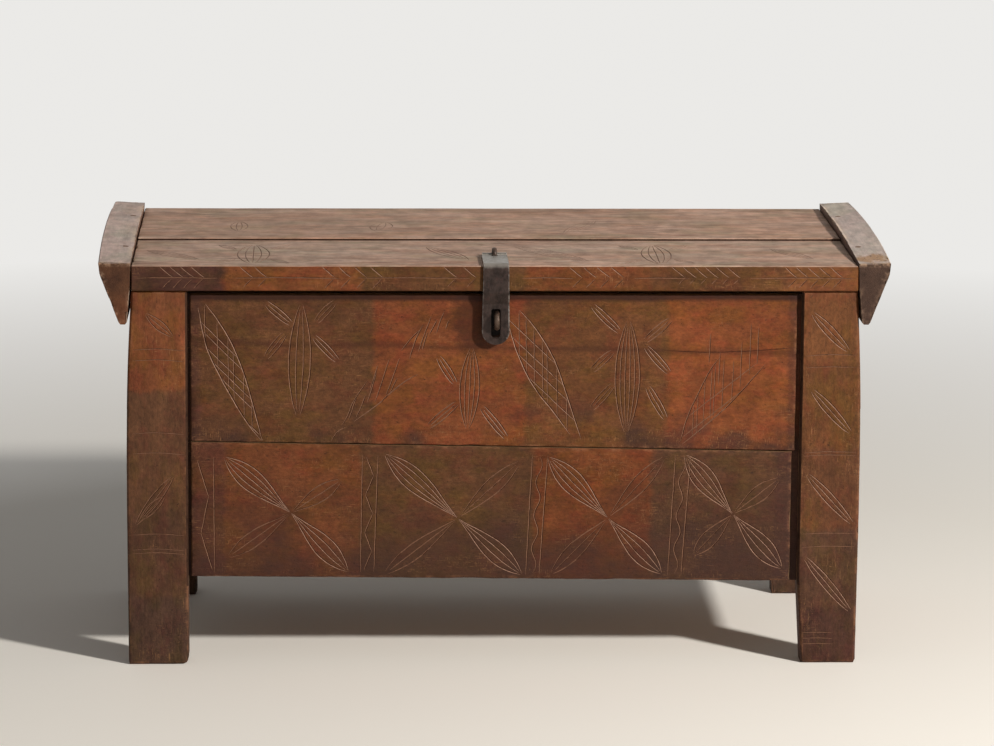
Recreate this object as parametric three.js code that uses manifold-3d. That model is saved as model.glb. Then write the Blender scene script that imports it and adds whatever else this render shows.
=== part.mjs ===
// A post-and-plank coffer chest of riven wood, with a pivoting lid and an iron hasp.
// Millimetres. X runs to the right, Y to the rear and Z up. While the pieces are made,
// Y starts at the front faces of the front posts and X at the middle of the chest.

import * as THREE from "three";
import { mergeVertices } from "three/addons/utils/BufferGeometryUtils.js";
import Module from "manifold-3d";

const wasm = await Module();
wasm.setup();

// Fits
const REST_GAP = 0.4; // between a piece and what it rests on
const GROOVE_FIT = 0.4; // on each side of a tongue, a tenon or a board in its groove
const PEG_FIT = 0.35; // all round a peg, a pin's seat or a staple's leg
const PIN_PLAY = 0.65; // all round the hinge pin where it turns
const OVERRUN = 30; // how far a cut runs past the wood

// Posts
const POST_INNER = 477; // from the middle of the chest to a post's inner face
const POST_HEIGHT = 593.6;
const POST_THICK = 48;
const POST_TOP_WIDTH = 86.4;
const FOOT_SWELL = 7.6; // how much wider than its top a post is, at each of these heights
const BELLY_SWELL = 9.2;
const SHOULDER_SWELL = 7;
const BELLY_HEIGHT_SHARE = 0.47;
const SHOULDER_HEIGHT_SHARE = 0.76;
const RELIEF_HEIGHT_SHARE = 0.79; // above it the rear posts are pared straight for the cleats
const POST_EASE = 3; // worn edges
const FOOT_HOLLOW = 8; // how far the right posts' inner edges draw back from the planks to the floor
const POST_CURVE_STEPS = 14;
const CARCASE_DEPTH = 520; // over the posts, front to back

// Planks in the posts' grooves
const PLANK_THICK = 26;
const FACE_SETBACK = 10; // front and back planks, in from the posts' faces
const SIDE_SETBACK = 14.4; // side planks, in from the top of the posts' outer sides
const TONGUE_THICK = 14;
const TONGUE_SETBACK = 8; // the tongue's outer face, in from the plank's face
const FACE_TONGUE = 24; // reach of the front and back tongues into the posts
const SIDE_TONGUE = 16; // reach of the side tongues into the posts
const GROOVE_END_GAP = 1;
const SHOULDER_GAP = 4; // from a plank's shoulder to the post
const WIDE_SHOULDER_GAP = 11; // the lower front plank stops short of the right post
const UPPER_WIDE_SHOULDER_GAP = 6; // the upper front plank at the same post
const PLANK_EASE = 1.5;
const LEG_CLEAR = 134.5; // under the lower planks
const PLANK_FOOT_SLANT = 9; // lower front plank, left end above right end
const SEAM_HEIGHT = 346.5; // between the lower and the upper planks
const SEAM_SLANT = 16;
const SEAM_GAP = 0.6;
const PLANK_TOP_DROP = 7; // plank tops below the lid's underside

// Floor
const FLOOR_BOARDS = 5;
const FLOOR_THICK = 14;
const FLOOR_RISE = 31; // floor's underside above the lower planks' foot
const FLOOR_GROOVE = 8;
const FLOOR_SEAM = 0.8;

// Pegs that pin the tongues and the lid's tenons
const PEG_RADIUS = 4.5;
const PEG_POINT_RADIUS = 3;
const PEG_POINT_LENGTH = 5;
const PEG_PAST_TONGUE = 6;
const PEG_PROUD = 1.5;
const PEG_SIDES = 12;

// Lid boards
const LID_FRONT_REACH = 5; // past the front faces of the posts
const LID_REAR_REACH = 52; // past the back faces of the posts
const LID_FRONT_BOARD_WIDTH = 254;
const LID_SEAM = 1;
const LID_FRONT_THICK = 40.5;
const LID_REAR_THICK = 44;
const LID_EDGE_ROUND = 3;
const LID_ROUND_STEPS = 3;
const TENON_THICK = 16;
const TENON_LENGTH = 26;
const TENON_INSET = 26; // from a board's long edges
const TENON_RISE = 12; // tenon's underside above the board's

// Cleats that hold the ends of the lid boards and carry its pins
const CLEAT_FRONT_REACH = 6;
const CLEAT_REAR_REACH = 58;
const CLEAT_WIDTH = 50; // across the top at the front
const CLEAT_REAR_WIDTH_SHARE = 1;
const CLEAT_BULGE = 4; // outward, at mid length
const CLEAT_FRONT_RISE = 5.5; // above the front board
const CLEAT_REAR_RISE = 10; // above the rear board
const CLEAT_ARCH = 6.5; // above the straight line between its ends
const CLEAT_CROWN = 2; // the outer top edge above the inner one
const CLEAT_DROP = 52; // below the lid's underside
const CLEAT_EDGE = 20; // upright part of the outer side
const CLEAT_FOOT_WIDTH = 12.5;
const CLEAT_LEAN = 6.5; // inner side, outwards from top to foot
const CLEAT_LEAN_AT_BOARDS_SHARE = 0.28;
const CLEAT_EASE = 2.5;
const CLEAT_STEPS = 14;

// Wooden hinge pins through the cleats into the rear posts
const AXIS_DROP = 27; // below the lid's underside
const AXIS_TO_BACK = 18; // in from the back faces of the posts
const PIN_RADIUS = 8;
const PIN_END_WOOD = 6.4; // between the rear tongue's groove and the pin
const PIN_PROUD = 6;
const PIN_POINT_LENGTH = 4;
const PIN_POINT_RADIUS = 6;
const PIN_END_EASE = 1.5;
const PIN_SIDES = 24;

// Hasp, forged from strip
const HASP_MIDDLE = 0.6; // to the right of the chest's middle
const HASP_THICK = 4;
const HASP_WIDTH = 38.6;
const HASP_END_WIDTH = 43.4;
const HASP_HANG = 124.8; // from the lid's top to the round end's lowest point
const HASP_REACH = 85; // from the lid's front edge back to the knuckle's axis
const HASP_FACE_GAP = 0.3;
const HASP_BEND = 3; // inside radius over the lid's edge
const HASP_BEND_STEPS = 4;
const HASP_SET = 6; // how far the strap is set in under the lid's edge
const HASP_SET_DROP = 2; // from the lid's underside to the start of the set
const HASP_SET_LENGTH = 18;
const KNUCKLE_RADIUS = 3.5;
const KNUCKLE_SIDES = 16;
const LOOP_HOLE_WIDTH = 9;
const LOOP_HOLE_LENGTH = 9.7;
const SLOT_WIDTH = 14;
const SLOT_CORNER = 3;
const SLOT_CORNER_STEPS = 3;
const SLOT_ABOVE_STAPLE = 3;
const SLOT_BELOW_STAPLE = 11; // room for the strap to swing off the staple
const OUTLINE_STEPS = 10;

// Staples, of round iron wire clenched on the inside
const WIRE_SIDES = 10;
const WIRE_STEP = 2.6; // along the wire
const CLENCH_LENGTH = 14;
const LOCK_WIRE = 7;
const LOCK_MIDDLE = 2; // to the right of the chest's middle
const LOCK_DROP = 86.5; // from the lid's top to the staple's middle
const LOCK_BOW = 11.5; // radius along the wire's middle
const LOCK_EYE = 10; // clear depth in front of the strap
const LID_WIRE = 6;
const LID_BOW = 7.5;
const LID_BOW_RISE = 1.2; // the bow's middle above the knuckle's axis

// Finishes
const RED_STAIN = "#8a4320";
const OLIVE_STAIN = "#6b4a26";
const BARE_WOOD = "#7d6147";
const WORN_TOP = "#8c6f58";
const IRON = "#4d4440";
const WOOD_ROUGHNESS = 0.75;
const IRON_ROUGHNESS = 0.6;
const IRON_METALNESS = 0.8;

// Sizes that follow from the ones above
const POST_BELLY_WIDTH = POST_TOP_WIDTH + BELLY_SWELL;
const LID_BOTTOM = POST_HEIGHT + REST_GAP;
const LID_FRONT_TOP = LID_BOTTOM + LID_FRONT_THICK;
const LID_REAR_TOP = LID_BOTTOM + LID_REAR_THICK;
const LID_FRONT_EDGE = -LID_FRONT_REACH;
const LID_SEAM_AT = LID_FRONT_EDGE + LID_FRONT_BOARD_WIDTH;
const LID_REAR_EDGE = CARCASE_DEPTH + LID_REAR_REACH;
const LID_HALF_LENGTH = POST_INNER + POST_TOP_WIDTH - REST_GAP;
const PLANK_TOP = LID_BOTTOM - PLANK_TOP_DROP;
const REAR_POST_FRONT = CARCASE_DEPTH - POST_THICK;
const SIDE_FACE = POST_INNER + POST_TOP_WIDTH - SIDE_SETBACK;
const SIDE_INNER = SIDE_FACE - PLANK_THICK;
const FACE_INNER = FACE_SETBACK + PLANK_THICK;
const FLOOR_BOTTOM = LEG_CLEAR + FLOOR_RISE;
const FLOOR_TOP = FLOOR_BOTTOM + FLOOR_THICK;
const AXIS_Y = CARCASE_DEPTH - AXIS_TO_BACK;
const AXIS_Z = LID_BOTTOM - AXIS_DROP;
const PIN_TIP = POST_INNER + FACE_TONGUE + GROOVE_END_GAP + PIN_END_WOOD;
const ABOVE_CLEATS = LID_REAR_THICK + CLEAT_REAR_RISE + CLEAT_ARCH + OVERRUN;
const KNUCKLE_Y = LID_FRONT_EDGE + HASP_REACH;
const KNUCKLE_Z = LID_FRONT_TOP + HASP_FACE_GAP + KNUCKLE_RADIUS;
const STRAP_FACE = LID_FRONT_EDGE - HASP_FACE_GAP - HASP_THICK + HASP_SET;
const LOCK_Z = LID_FRONT_TOP - LOCK_DROP;
const SIDES = { left: -1, right: 1 };
const ENDS = ["front", "rear"];

// Bases that turn an extrusion, drawn in X and Y and deepened along Z, into the chest's frame
const X_AXIS = new THREE.Vector3(1, 0, 0);
const Y_AXIS = new THREE.Vector3(0, 1, 0);
const Z_AXIS = new THREE.Vector3(0, 0, 1);
const DRAWN_FROM_THE_SIDE = new THREE.Matrix4().makeBasis(Y_AXIS, Z_AXIS, X_AXIS);
const DRAWN_FROM_THE_FRONT = new THREE.Matrix4().makeBasis(X_AXIS, Z_AXIS, Y_AXIS.clone().negate());

// A closed geometry as a solid that can be joined and cut.
function solid(geometry) {
  geometry.deleteAttribute("normal");
  geometry.deleteAttribute("uv");
  const welded = mergeVertices(geometry);
  const corners = welded.index.array;
  const faces = [];
  for (let i = 0; i < corners.length; i += 3) {
    const [a, b, c] = corners.slice(i, i + 3);
    if (a !== b && b !== c && c !== a) faces.push(a, b, c);
  }
  return new wasm.Manifold(
    new wasm.Mesh({
      numProp: 3,
      vertProperties: new Float32Array(welded.attributes.position.array),
      triVerts: new Uint32Array(faces),
    }),
  );
}

function outline(points) {
  return new THREE.Shape(points.map(([u, v]) => new THREE.Vector2(u, v)));
}

function rectangle(u0, v0, u1, v1) {
  return outline([[u0, v0], [u1, v0], [u1, v1], [u0, v1]]);
}

// A rectangle whose corners are rounded.
function roundedRectangle(u0, v0, u1, v1, radius) {
  const shape = new THREE.Shape();
  shape.absarc(u1 - radius, v0 + radius, radius, -Math.PI / 2, 0);
  shape.absarc(u1 - radius, v1 - radius, radius, 0, Math.PI / 2);
  shape.absarc(u0 + radius, v1 - radius, radius, Math.PI / 2, Math.PI);
  shape.absarc(u0 + radius, v0 + radius, radius, Math.PI, Math.PI * 1.5);
  return shape;
}

// An outline deepened between two levels, its end edges eased by a chamfer.
function deepened(shape, low, high, ease, curveSegments) {
  const geometry = new THREE.ExtrudeGeometry(shape, {
    depth: high - low - 2 * ease,
    curveSegments,
    bevelEnabled: ease > 0,
    bevelThickness: ease,
    bevelSize: ease,
    bevelOffset: -ease,
    bevelSegments: 1,
  });
  return geometry.translate(0, 0, low + ease);
}

function upright(shape, bottom, top, ease = 0, steps = OUTLINE_STEPS) {
  return deepened(shape, bottom, top, ease, steps);
}

function frontToBack(shape, front, back, ease = 0, steps = OUTLINE_STEPS) {
  return deepened(shape, -back, -front, ease, steps).applyMatrix4(DRAWN_FROM_THE_FRONT);
}

function sideToSide(shape, left, right, ease = 0, steps = OUTLINE_STEPS) {
  return deepened(shape, left, right, ease, steps).applyMatrix4(DRAWN_FROM_THE_SIDE);
}

function block(x0, x1, y0, y1, z0, z1) {
  return solid(upright(rectangle(Math.min(x0, x1), y0, Math.max(x0, x1), y1), z0, z1));
}

// A round bar or hole, many-sided, between two levels on the axis of a basis.
function rod(radius, sides, low, high, basis) {
  const geometry = new THREE.CylinderGeometry(radius, radius, high - low, sides);
  geometry.rotateX(Math.PI / 2).translate(0, 0, (low + high) / 2);
  return geometry.applyMatrix4(basis);
}

// A whittled peg: a blunt point at the low end of its axis, a plain shank above.
function peg(low, high, basis) {
  const profile = [
    new THREE.Vector2(0, low),
    new THREE.Vector2(PEG_POINT_RADIUS, low),
    new THREE.Vector2(PEG_RADIUS, low + PEG_POINT_LENGTH),
    new THREE.Vector2(PEG_RADIUS, high),
    new THREE.Vector2(0, high),
  ];
  return new THREE.LatheGeometry(profile, PEG_SIDES).rotateX(Math.PI / 2).applyMatrix4(basis);
}

// The basis of an axis through a place: its third direction runs up the axis.
function axisAt(direction, x, y, z) {
  const across = direction.z === 0 ? Z_AXIS : X_AXIS;
  const third = new THREE.Vector3().crossVectors(direction, across);
  return new THREE.Matrix4().makeBasis(across, third, direction).setPosition(x, y, z);
}

// Posts. The outer edge swells to a belly and draws in again under the lid.
function postEdge(end) {
  const belly = [POST_BELLY_WIDTH, POST_HEIGHT * BELLY_HEIGHT_SHARE];
  const shoulder = [POST_TOP_WIDTH + SHOULDER_SWELL, POST_HEIGHT * SHOULDER_HEIGHT_SHARE];
  const relief = [POST_TOP_WIDTH, POST_HEIGHT * RELIEF_HEIGHT_SHARE];
  const middle = end === "front" ? [belly, shoulder] : [belly, relief];
  const foot = [POST_TOP_WIDTH + FOOT_SWELL, 0];
  const places = [foot, ...middle, [POST_TOP_WIDTH, POST_HEIGHT]];
  const curve = new THREE.SplineCurve(places.map(([u, v]) => new THREE.Vector2(u, v)));
  const points = curve.getPoints(POST_CURVE_STEPS);
  return points.map((point) => [Math.max(point.x, POST_TOP_WIDTH), point.y]);
}

function postBlank(side, end) {
  const outer = postEdge(end).map(([width, height]) => [side * (POST_INNER + width), height]);
  const drawnBack = side > 0 ? FOOT_HOLLOW : 0;
  const inner = [
    [side * POST_INNER, POST_HEIGHT], [side * POST_INNER, LEG_CLEAR],
    [side * (POST_INNER + drawnBack), 0],
  ];
  const front = end === "front" ? 0 : REAR_POST_FRONT;
  const blank = solid(frontToBack(outline([...outer, ...inner]), front, front + POST_THICK, POST_EASE));
  if (end === "front") return blank;
  return blank.intersect(solid(sideToSide(rearPostProfile(), -lidReach(), lidReach())));
}

// The rear post from the side: its top is rounded about the hinge's axis at the back.
function rearPostProfile() {
  const round = POST_HEIGHT - AXIS_Z;
  const start = Math.acos(AXIS_TO_BACK / round);
  const shape = new THREE.Shape();
  shape.moveTo(REAR_POST_FRONT - OVERRUN, 0);
  shape.lineTo(CARCASE_DEPTH, 0);
  shape.absarc(AXIS_Y, AXIS_Z, round, start, Math.PI / 2);
  shape.lineTo(REAR_POST_FRONT - OVERRUN, POST_HEIGHT);
  return shape;
}

function lidReach() {
  return LID_HALF_LENGTH + CLEAT_WIDTH + CLEAT_BULGE;
}

// Where a front or back tongue lies, from front to back.
function faceTongue(end, spare) {
  const near = FACE_SETBACK + TONGUE_SETBACK;
  const far = near + TONGUE_THICK;
  const [low, high] = end === "front" ? [near, far] : [CARCASE_DEPTH - far, CARCASE_DEPTH - near];
  return [low - spare, high + spare];
}

// Where a side tongue lies, outwards from the middle of the chest.
function sideTongue(spare) {
  const outer = SIDE_FACE - TONGUE_SETBACK;
  return [outer - TONGUE_THICK - spare, outer + spare];
}

// Where a side tongue ends inside a post, and the post's face that it enters.
function sideTongueReach(end, reach) {
  const front = [POST_THICK - reach, POST_THICK + OVERRUN];
  const rear = [REAR_POST_FRONT - OVERRUN, REAR_POST_FRONT + reach];
  return end === "front" ? front : rear;
}

// The height of a slanting edge of the front planks at a place across the chest.
function slanted(height, slant, x) {
  return height - (slant * x) / (2 * POST_INNER);
}

function plankLevels(face, level, x) {
  const slants = face === "front" ? 1 : 0;
  const foot = slanted(LEG_CLEAR, PLANK_FOOT_SLANT * slants, x);
  const seam = slanted(SEAM_HEIGHT, SEAM_SLANT * slants, x);
  return level === "lower" ? [foot, seam - SEAM_GAP / 2] : [seam + SEAM_GAP / 2, PLANK_TOP];
}

function pegHeight(face, level, side) {
  const [low, high] = plankLevels(face, level, side * POST_INNER);
  return (low + high) / 2;
}

// The axis of a peg through a front or back tongue, driven from inside the chest.
function facePegAxis(side, end, level) {
  const x = side * (POST_INNER + FACE_TONGUE / 2);
  const away = end === "front" ? 1 : -1;
  const face = end === "front" ? POST_THICK : REAR_POST_FRONT;
  return axisAt(new THREE.Vector3(0, away, 0), x, face, pegHeight(end, level, side));
}

function facePegDepth() {
  return POST_THICK - FACE_SETBACK - TONGUE_SETBACK + PEG_PAST_TONGUE;
}

// The axis of a peg through a side tongue, driven from outside the post.
function sidePegAxis(side, end, level) {
  const y = end === "front" ? POST_THICK - SIDE_TONGUE / 2 : REAR_POST_FRONT + SIDE_TONGUE / 2;
  const outside = POST_INNER + POST_BELLY_WIDTH;
  return axisAt(new THREE.Vector3(side, 0, 0), side * outside, y, pegHeight("side", level, side));
}

function sidePegDepth() {
  return POST_INNER + POST_BELLY_WIDTH - sideTongue(0)[0] + PEG_PAST_TONGUE;
}

function hingePinHole(radius, fit, sideways) {
  const basis = axisAt(new THREE.Vector3(sideways, 0, 0), 0, AXIS_Y, AXIS_Z);
  return solid(rod(radius + fit, PIN_SIDES, PIN_TIP - GROOVE_END_GAP, lidReach(), basis));
}

function post(side, end) {
  const groove = FACE_TONGUE + GROOVE_END_GAP;
  const sideGroove = SIDE_TONGUE + GROOVE_END_GAP;
  const foot = plankLevels(end, "lower", side * (POST_INNER + FACE_TONGUE))[0];
  const faceGroove = block(
    side * (POST_INNER - OVERRUN), side * (POST_INNER + groove),
    ...faceTongue(end, GROOVE_FIT), foot - GROOVE_FIT, POST_HEIGHT + OVERRUN,
  );
  const [near, far] = sideTongue(GROOVE_FIT);
  const sideways = block(
    side * near, side * far, ...sideTongueReach(end, sideGroove),
    LEG_CLEAR - GROOVE_FIT, POST_HEIGHT + OVERRUN,
  );
  let wood = postBlank(side, end).subtract(faceGroove).subtract(sideways);
  for (const level of ["lower", "upper"]) {
    const inward = rod(
      PEG_RADIUS + PEG_FIT, PEG_SIDES, -facePegDepth() - GROOVE_END_GAP, OVERRUN,
      facePegAxis(side, end, level),
    );
    const outward = rod(
      PEG_RADIUS + PEG_FIT, PEG_SIDES, -sidePegDepth() - GROOVE_END_GAP, OVERRUN,
      sidePegAxis(side, end, level),
    );
    wood = wood.subtract(solid(inward)).subtract(solid(outward));
  }
  return end === "front" ? wood : wood.subtract(hingePinHole(PIN_RADIUS, PIN_PLAY, side));
}

// Front and back planks. The shoulders stop short of the posts and the tongues enter them.
function shoulder(end, side, level) {
  const wide = level === "upper" ? UPPER_WIDE_SHOULDER_GAP : WIDE_SHOULDER_GAP;
  const gap = end === "front" && side > 0 ? wide : SHOULDER_GAP;
  return side * (POST_INNER - gap);
}

function plankOutline(face, level, left, right) {
  const [leftLow, leftHigh] = plankLevels(face, level, left);
  const [rightLow, rightHigh] = plankLevels(face, level, right);
  return outline([[left, leftLow], [right, rightLow], [right, rightHigh], [left, leftHigh]]);
}

function facePlank(end, level) {
  const left = shoulder(end, SIDES.left, level);
  const right = shoulder(end, SIDES.right, level);
  const tongueEnd = POST_INNER + FACE_TONGUE;
  const face = end === "front" ? FACE_SETBACK : CARCASE_DEPTH - FACE_INNER;
  const body = frontToBack(plankOutline(end, level, left, right), face, face + PLANK_THICK, PLANK_EASE);
  const tongues = frontToBack(plankOutline(end, level, -tongueEnd, tongueEnd), ...faceTongue(end, 0));
  let wood = solid(body).add(solid(tongues));
  for (const side of Object.values(SIDES)) {
    const hole = rod(
      PEG_RADIUS + PEG_FIT, PEG_SIDES, -POST_THICK, OVERRUN, facePegAxis(side, end, level),
    );
    wood = wood.subtract(solid(hole));
  }
  return level === "lower" ? wood.subtract(floorGroove()) : wood;
}

// The floor's outline, grown by a fit, which is also the groove that it sits in.
function floorPrism(spare) {
  const across = SIDE_INNER + FLOOR_GROOVE + spare;
  const front = FACE_INNER - FLOOR_GROOVE - spare;
  const whole = block(
    -across, across, front, CARCASE_DEPTH - front, FLOOR_BOTTOM - spare, FLOOR_TOP + spare,
  );
  return floorCorners(-spare).reduce((wood, corner) => wood.subtract(corner), whole);
}

function floorGroove() {
  return floorPrism(GROOVE_FIT);
}

// Blocks over the four corners where the floor is notched round the posts and the tongues.
function floorCorners(spare) {
  const corners = [];
  for (const side of Object.values(SIDES)) {
    for (const end of ENDS) {
      const from = Math.abs(shoulder(end, side, "lower")) - REST_GAP - spare;
      const near = end === "front" ? -OVERRUN : REAR_POST_FRONT - REST_GAP - spare;
      const far = end === "front" ? POST_THICK + REST_GAP + spare : CARCASE_DEPTH + OVERRUN;
      corners.push(
        block(side * from, side * (lidReach() + OVERRUN), near, far, 0, POST_HEIGHT),
      );
    }
  }
  return corners;
}

function floorBoard(number) {
  const whole = 2 * (SIDE_INNER + FLOOR_GROOVE) - (FLOOR_BOARDS - 1) * FLOOR_SEAM;
  const width = whole / FLOOR_BOARDS;
  const left = -SIDE_INNER - FLOOR_GROOVE + number * (width + FLOOR_SEAM);
  const strip = block(
    left, left + width, -OVERRUN, CARCASE_DEPTH + OVERRUN, 0, POST_HEIGHT,
  );
  return floorPrism(0).intersect(strip);
}

function sidePlank(side, level) {
  const [low, high] = plankLevels("side", level, 0);
  const front = POST_THICK + SHOULDER_GAP;
  const back = REAR_POST_FRONT - SHOULDER_GAP;
  const [near, far] = sideTongue(0);
  const body = sideToSide(
    rectangle(front, low, back, high), Math.min(side * SIDE_INNER, side * SIDE_FACE),
    Math.max(side * SIDE_INNER, side * SIDE_FACE), PLANK_EASE,
  );
  const tongues = block(
    side * near, side * far, POST_THICK - SIDE_TONGUE, REAR_POST_FRONT + SIDE_TONGUE, low, high,
  );
  let wood = solid(body).add(tongues);
  for (const end of ENDS) {
    const hole = rod(
      PEG_RADIUS + PEG_FIT, PEG_SIDES, -sidePegDepth() - OVERRUN, OVERRUN,
      sidePegAxis(side, end, level),
    );
    wood = wood.subtract(solid(hole));
  }
  return level === "lower" ? wood.subtract(floorGroove()) : wood;
}

// Lid boards, each with a stub tenon at both ends.
function lidBoardSpan(board) {
  const front = [LID_FRONT_EDGE, LID_SEAM_AT];
  const rear = [LID_SEAM_AT + LID_SEAM, LID_REAR_EDGE];
  return board === "front" ? front : rear;
}

function tenon(board, side, spare) {
  const [front, back] = lidBoardSpan(board);
  const bottom = LID_BOTTOM + TENON_RISE;
  return block(
    side * (LID_HALF_LENGTH - OVERRUN), side * (LID_HALF_LENGTH + TENON_LENGTH + spare),
    front + TENON_INSET - spare, back - TENON_INSET + spare,
    bottom - spare, bottom + TENON_THICK + spare,
  );
}

function lidPegAxis(board, side) {
  const [front, back] = lidBoardSpan(board);
  const x = side * (LID_HALF_LENGTH + TENON_LENGTH / 2);
  return axisAt(Z_AXIS, x, (front + back) / 2, LID_BOTTOM + TENON_RISE);
}

function lidPegHole(board, side) {
  const depth = PEG_PAST_TONGUE + GROOVE_END_GAP;
  return solid(rod(PEG_RADIUS + PEG_FIT, PEG_SIDES, -depth, ABOVE_CLEATS, lidPegAxis(board, side)));
}

function lidBoard(board) {
  const [front, back] = lidBoardSpan(board);
  const top = board === "front" ? LID_FRONT_TOP : LID_REAR_TOP;
  const section = roundedRectangle(front, LID_BOTTOM, back, top, LID_EDGE_ROUND);
  const body = sideToSide(section, -LID_HALF_LENGTH, LID_HALF_LENGTH, PLANK_EASE, LID_ROUND_STEPS);
  let wood = solid(body);
  for (const side of Object.values(SIDES)) {
    wood = wood.add(tenon(board, side, 0)).subtract(lidPegHole(board, side));
  }
  return board === "front" ? wood.subtract(stapleHoles(lidStaple())) : wood;
}

// Cleats: a wedge section, hollowed under the lid, that arches and bulges along its length.
function cleatHeights() {
  const foot = LID_BOTTOM - CLEAT_DROP;
  const front = LID_FRONT_TOP + CLEAT_FRONT_RISE;
  const rear = LID_REAR_TOP + CLEAT_REAR_RISE;
  return { foot, front, rear };
}

function cleatSection(side) {
  const { foot, front } = cleatHeights();
  const inner = LID_HALF_LENGTH + REST_GAP;
  const outer = inner + CLEAT_WIDTH;
  const footInner = inner + CLEAT_LEAN;
  const atBoards = inner + CLEAT_LEAN * CLEAT_LEAN_AT_BOARDS_SHARE;
  const places = [
    [inner, front - CLEAT_CROWN], [outer - CLEAT_CROWN, front], [outer, front - CLEAT_CROWN],
    [outer - CLEAT_CROWN, front - CLEAT_EDGE], [footInner + CLEAT_FOOT_WIDTH, foot + CLEAT_EASE],
    [footInner + CLEAT_FOOT_WIDTH - CLEAT_EASE, foot], [footInner + CLEAT_EASE, foot],
    [footInner, foot + CLEAT_EASE], [atBoards, LID_BOTTOM],
  ];
  return outline(places.map(([x, z]) => [side * x, z]));
}

function cleatBlank(side) {
  const { foot, front, rear } = cleatHeights();
  const start = -CLEAT_FRONT_REACH;
  const length = CARCASE_DEPTH + CLEAT_REAR_REACH - start;
  const inner = LID_HALF_LENGTH + REST_GAP;
  const geometry = new THREE.ExtrudeGeometry(cleatSection(side), {
    depth: length,
    steps: CLEAT_STEPS,
    bevelEnabled: false,
  });
  geometry.translate(0, 0, -start - length).applyMatrix4(DRAWN_FROM_THE_FRONT);
  const place = geometry.attributes.position;
  for (let i = 0; i < place.count; i += 1) {
    const share = (place.getY(i) - start) / length;
    const swell = 4 * share * (1 - share);
    const height = front + (rear - front) * share + CLEAT_ARCH * swell - foot;
    const outward = side * place.getX(i) - inner;
    const narrowed = 1 + (CLEAT_REAR_WIDTH_SHARE - 1) * share + (CLEAT_BULGE / CLEAT_WIDTH) * swell;
    const x = outward > CLEAT_LEAN ? CLEAT_LEAN + (outward - CLEAT_LEAN) * narrowed : outward;
    const above = place.getZ(i) - LID_BOTTOM;
    const stretch = (height - CLEAT_DROP) / (front - foot - CLEAT_DROP);
    place.setX(i, side * (inner + x));
    place.setZ(i, LID_BOTTOM + (above > 0 ? above * stretch : above));
  }
  return solid(geometry);
}

function cleat(side) {
  let wood = cleatBlank(side).subtract(hingePinHole(PIN_RADIUS, PEG_FIT, side));
  for (const board of ENDS) {
    wood = wood.subtract(tenon(board, side, GROOVE_FIT)).subtract(lidPegHole(board, side));
  }
  return wood;
}

// A lid peg, its top cut off flush with the cleat.
function lidPeg(board, side) {
  return solid(peg(-PEG_PAST_TONGUE, ABOVE_CLEATS, lidPegAxis(board, side))).intersect(cleatBlank(side));
}

function hingePin(side) {
  const { foot, front } = cleatHeights();
  const slope = (CLEAT_WIDTH - CLEAT_FOOT_WIDTH - CLEAT_LEAN) / (front - CLEAT_EDGE - foot);
  const cleatFace = LID_HALF_LENGTH + CLEAT_LEAN + CLEAT_FOOT_WIDTH + slope * (AXIS_Z - foot);
  const outside = cleatFace + slope * PIN_RADIUS + PIN_PROUD;
  const profile = [
    new THREE.Vector2(0, PIN_TIP),
    new THREE.Vector2(PIN_POINT_RADIUS, PIN_TIP),
    new THREE.Vector2(PIN_RADIUS, PIN_TIP + PIN_POINT_LENGTH),
    new THREE.Vector2(PIN_RADIUS, outside - PIN_END_EASE),
    new THREE.Vector2(PIN_RADIUS - PIN_END_EASE, outside),
    new THREE.Vector2(0, outside),
  ];
  const basis = axisAt(new THREE.Vector3(side, 0, 0), 0, AXIS_Y, AXIS_Z);
  return solid(new THREE.LatheGeometry(profile, PIN_SIDES).rotateX(Math.PI / 2).applyMatrix4(basis));
}

// The hasp from the side: flat on the lid, over its front edge, set in below the lid.
function haspProfile() {
  const under = LID_FRONT_TOP + HASP_FACE_GAP;
  const over = under + HASP_THICK;
  const behind = LID_FRONT_EDGE - HASP_FACE_GAP;
  const face = behind - HASP_THICK;
  const setTop = LID_BOTTOM - HASP_SET_DROP;
  const setBottom = setTop - HASP_SET_LENGTH;
  const foot = LID_FRONT_TOP - HASP_HANG - OVERRUN;
  const shape = new THREE.Shape();
  shape.moveTo(KNUCKLE_Y, under);
  shape.lineTo(KNUCKLE_Y, over);
  shape.absarc(face + HASP_BEND + HASP_THICK, over - HASP_BEND - HASP_THICK,
    HASP_BEND + HASP_THICK, Math.PI / 2, Math.PI);
  shape.lineTo(face, setTop);
  shape.lineTo(face + HASP_SET, setBottom);
  shape.lineTo(face + HASP_SET, foot);
  shape.lineTo(behind + HASP_SET, foot);
  shape.lineTo(behind + HASP_SET, setBottom);
  shape.lineTo(behind, setTop);
  shape.absarc(behind + HASP_BEND, under - HASP_BEND, HASP_BEND, Math.PI, Math.PI / 2, true);
  return shape;
}

// The hasp from the front: a strap that widens to a round end, with its slot.
function haspOutline() {
  const foot = LID_FRONT_TOP - HASP_HANG;
  const endRadius = HASP_END_WIDTH / 2;
  const shape = new THREE.Shape();
  shape.moveTo(HASP_MIDDLE + HASP_WIDTH / 2, KNUCKLE_Z + OVERRUN);
  shape.lineTo(HASP_MIDDLE - HASP_WIDTH / 2, KNUCKLE_Z + OVERRUN);
  shape.absarc(HASP_MIDDLE, foot + endRadius, endRadius, Math.PI, Math.PI * 2);
  return shape;
}

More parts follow.
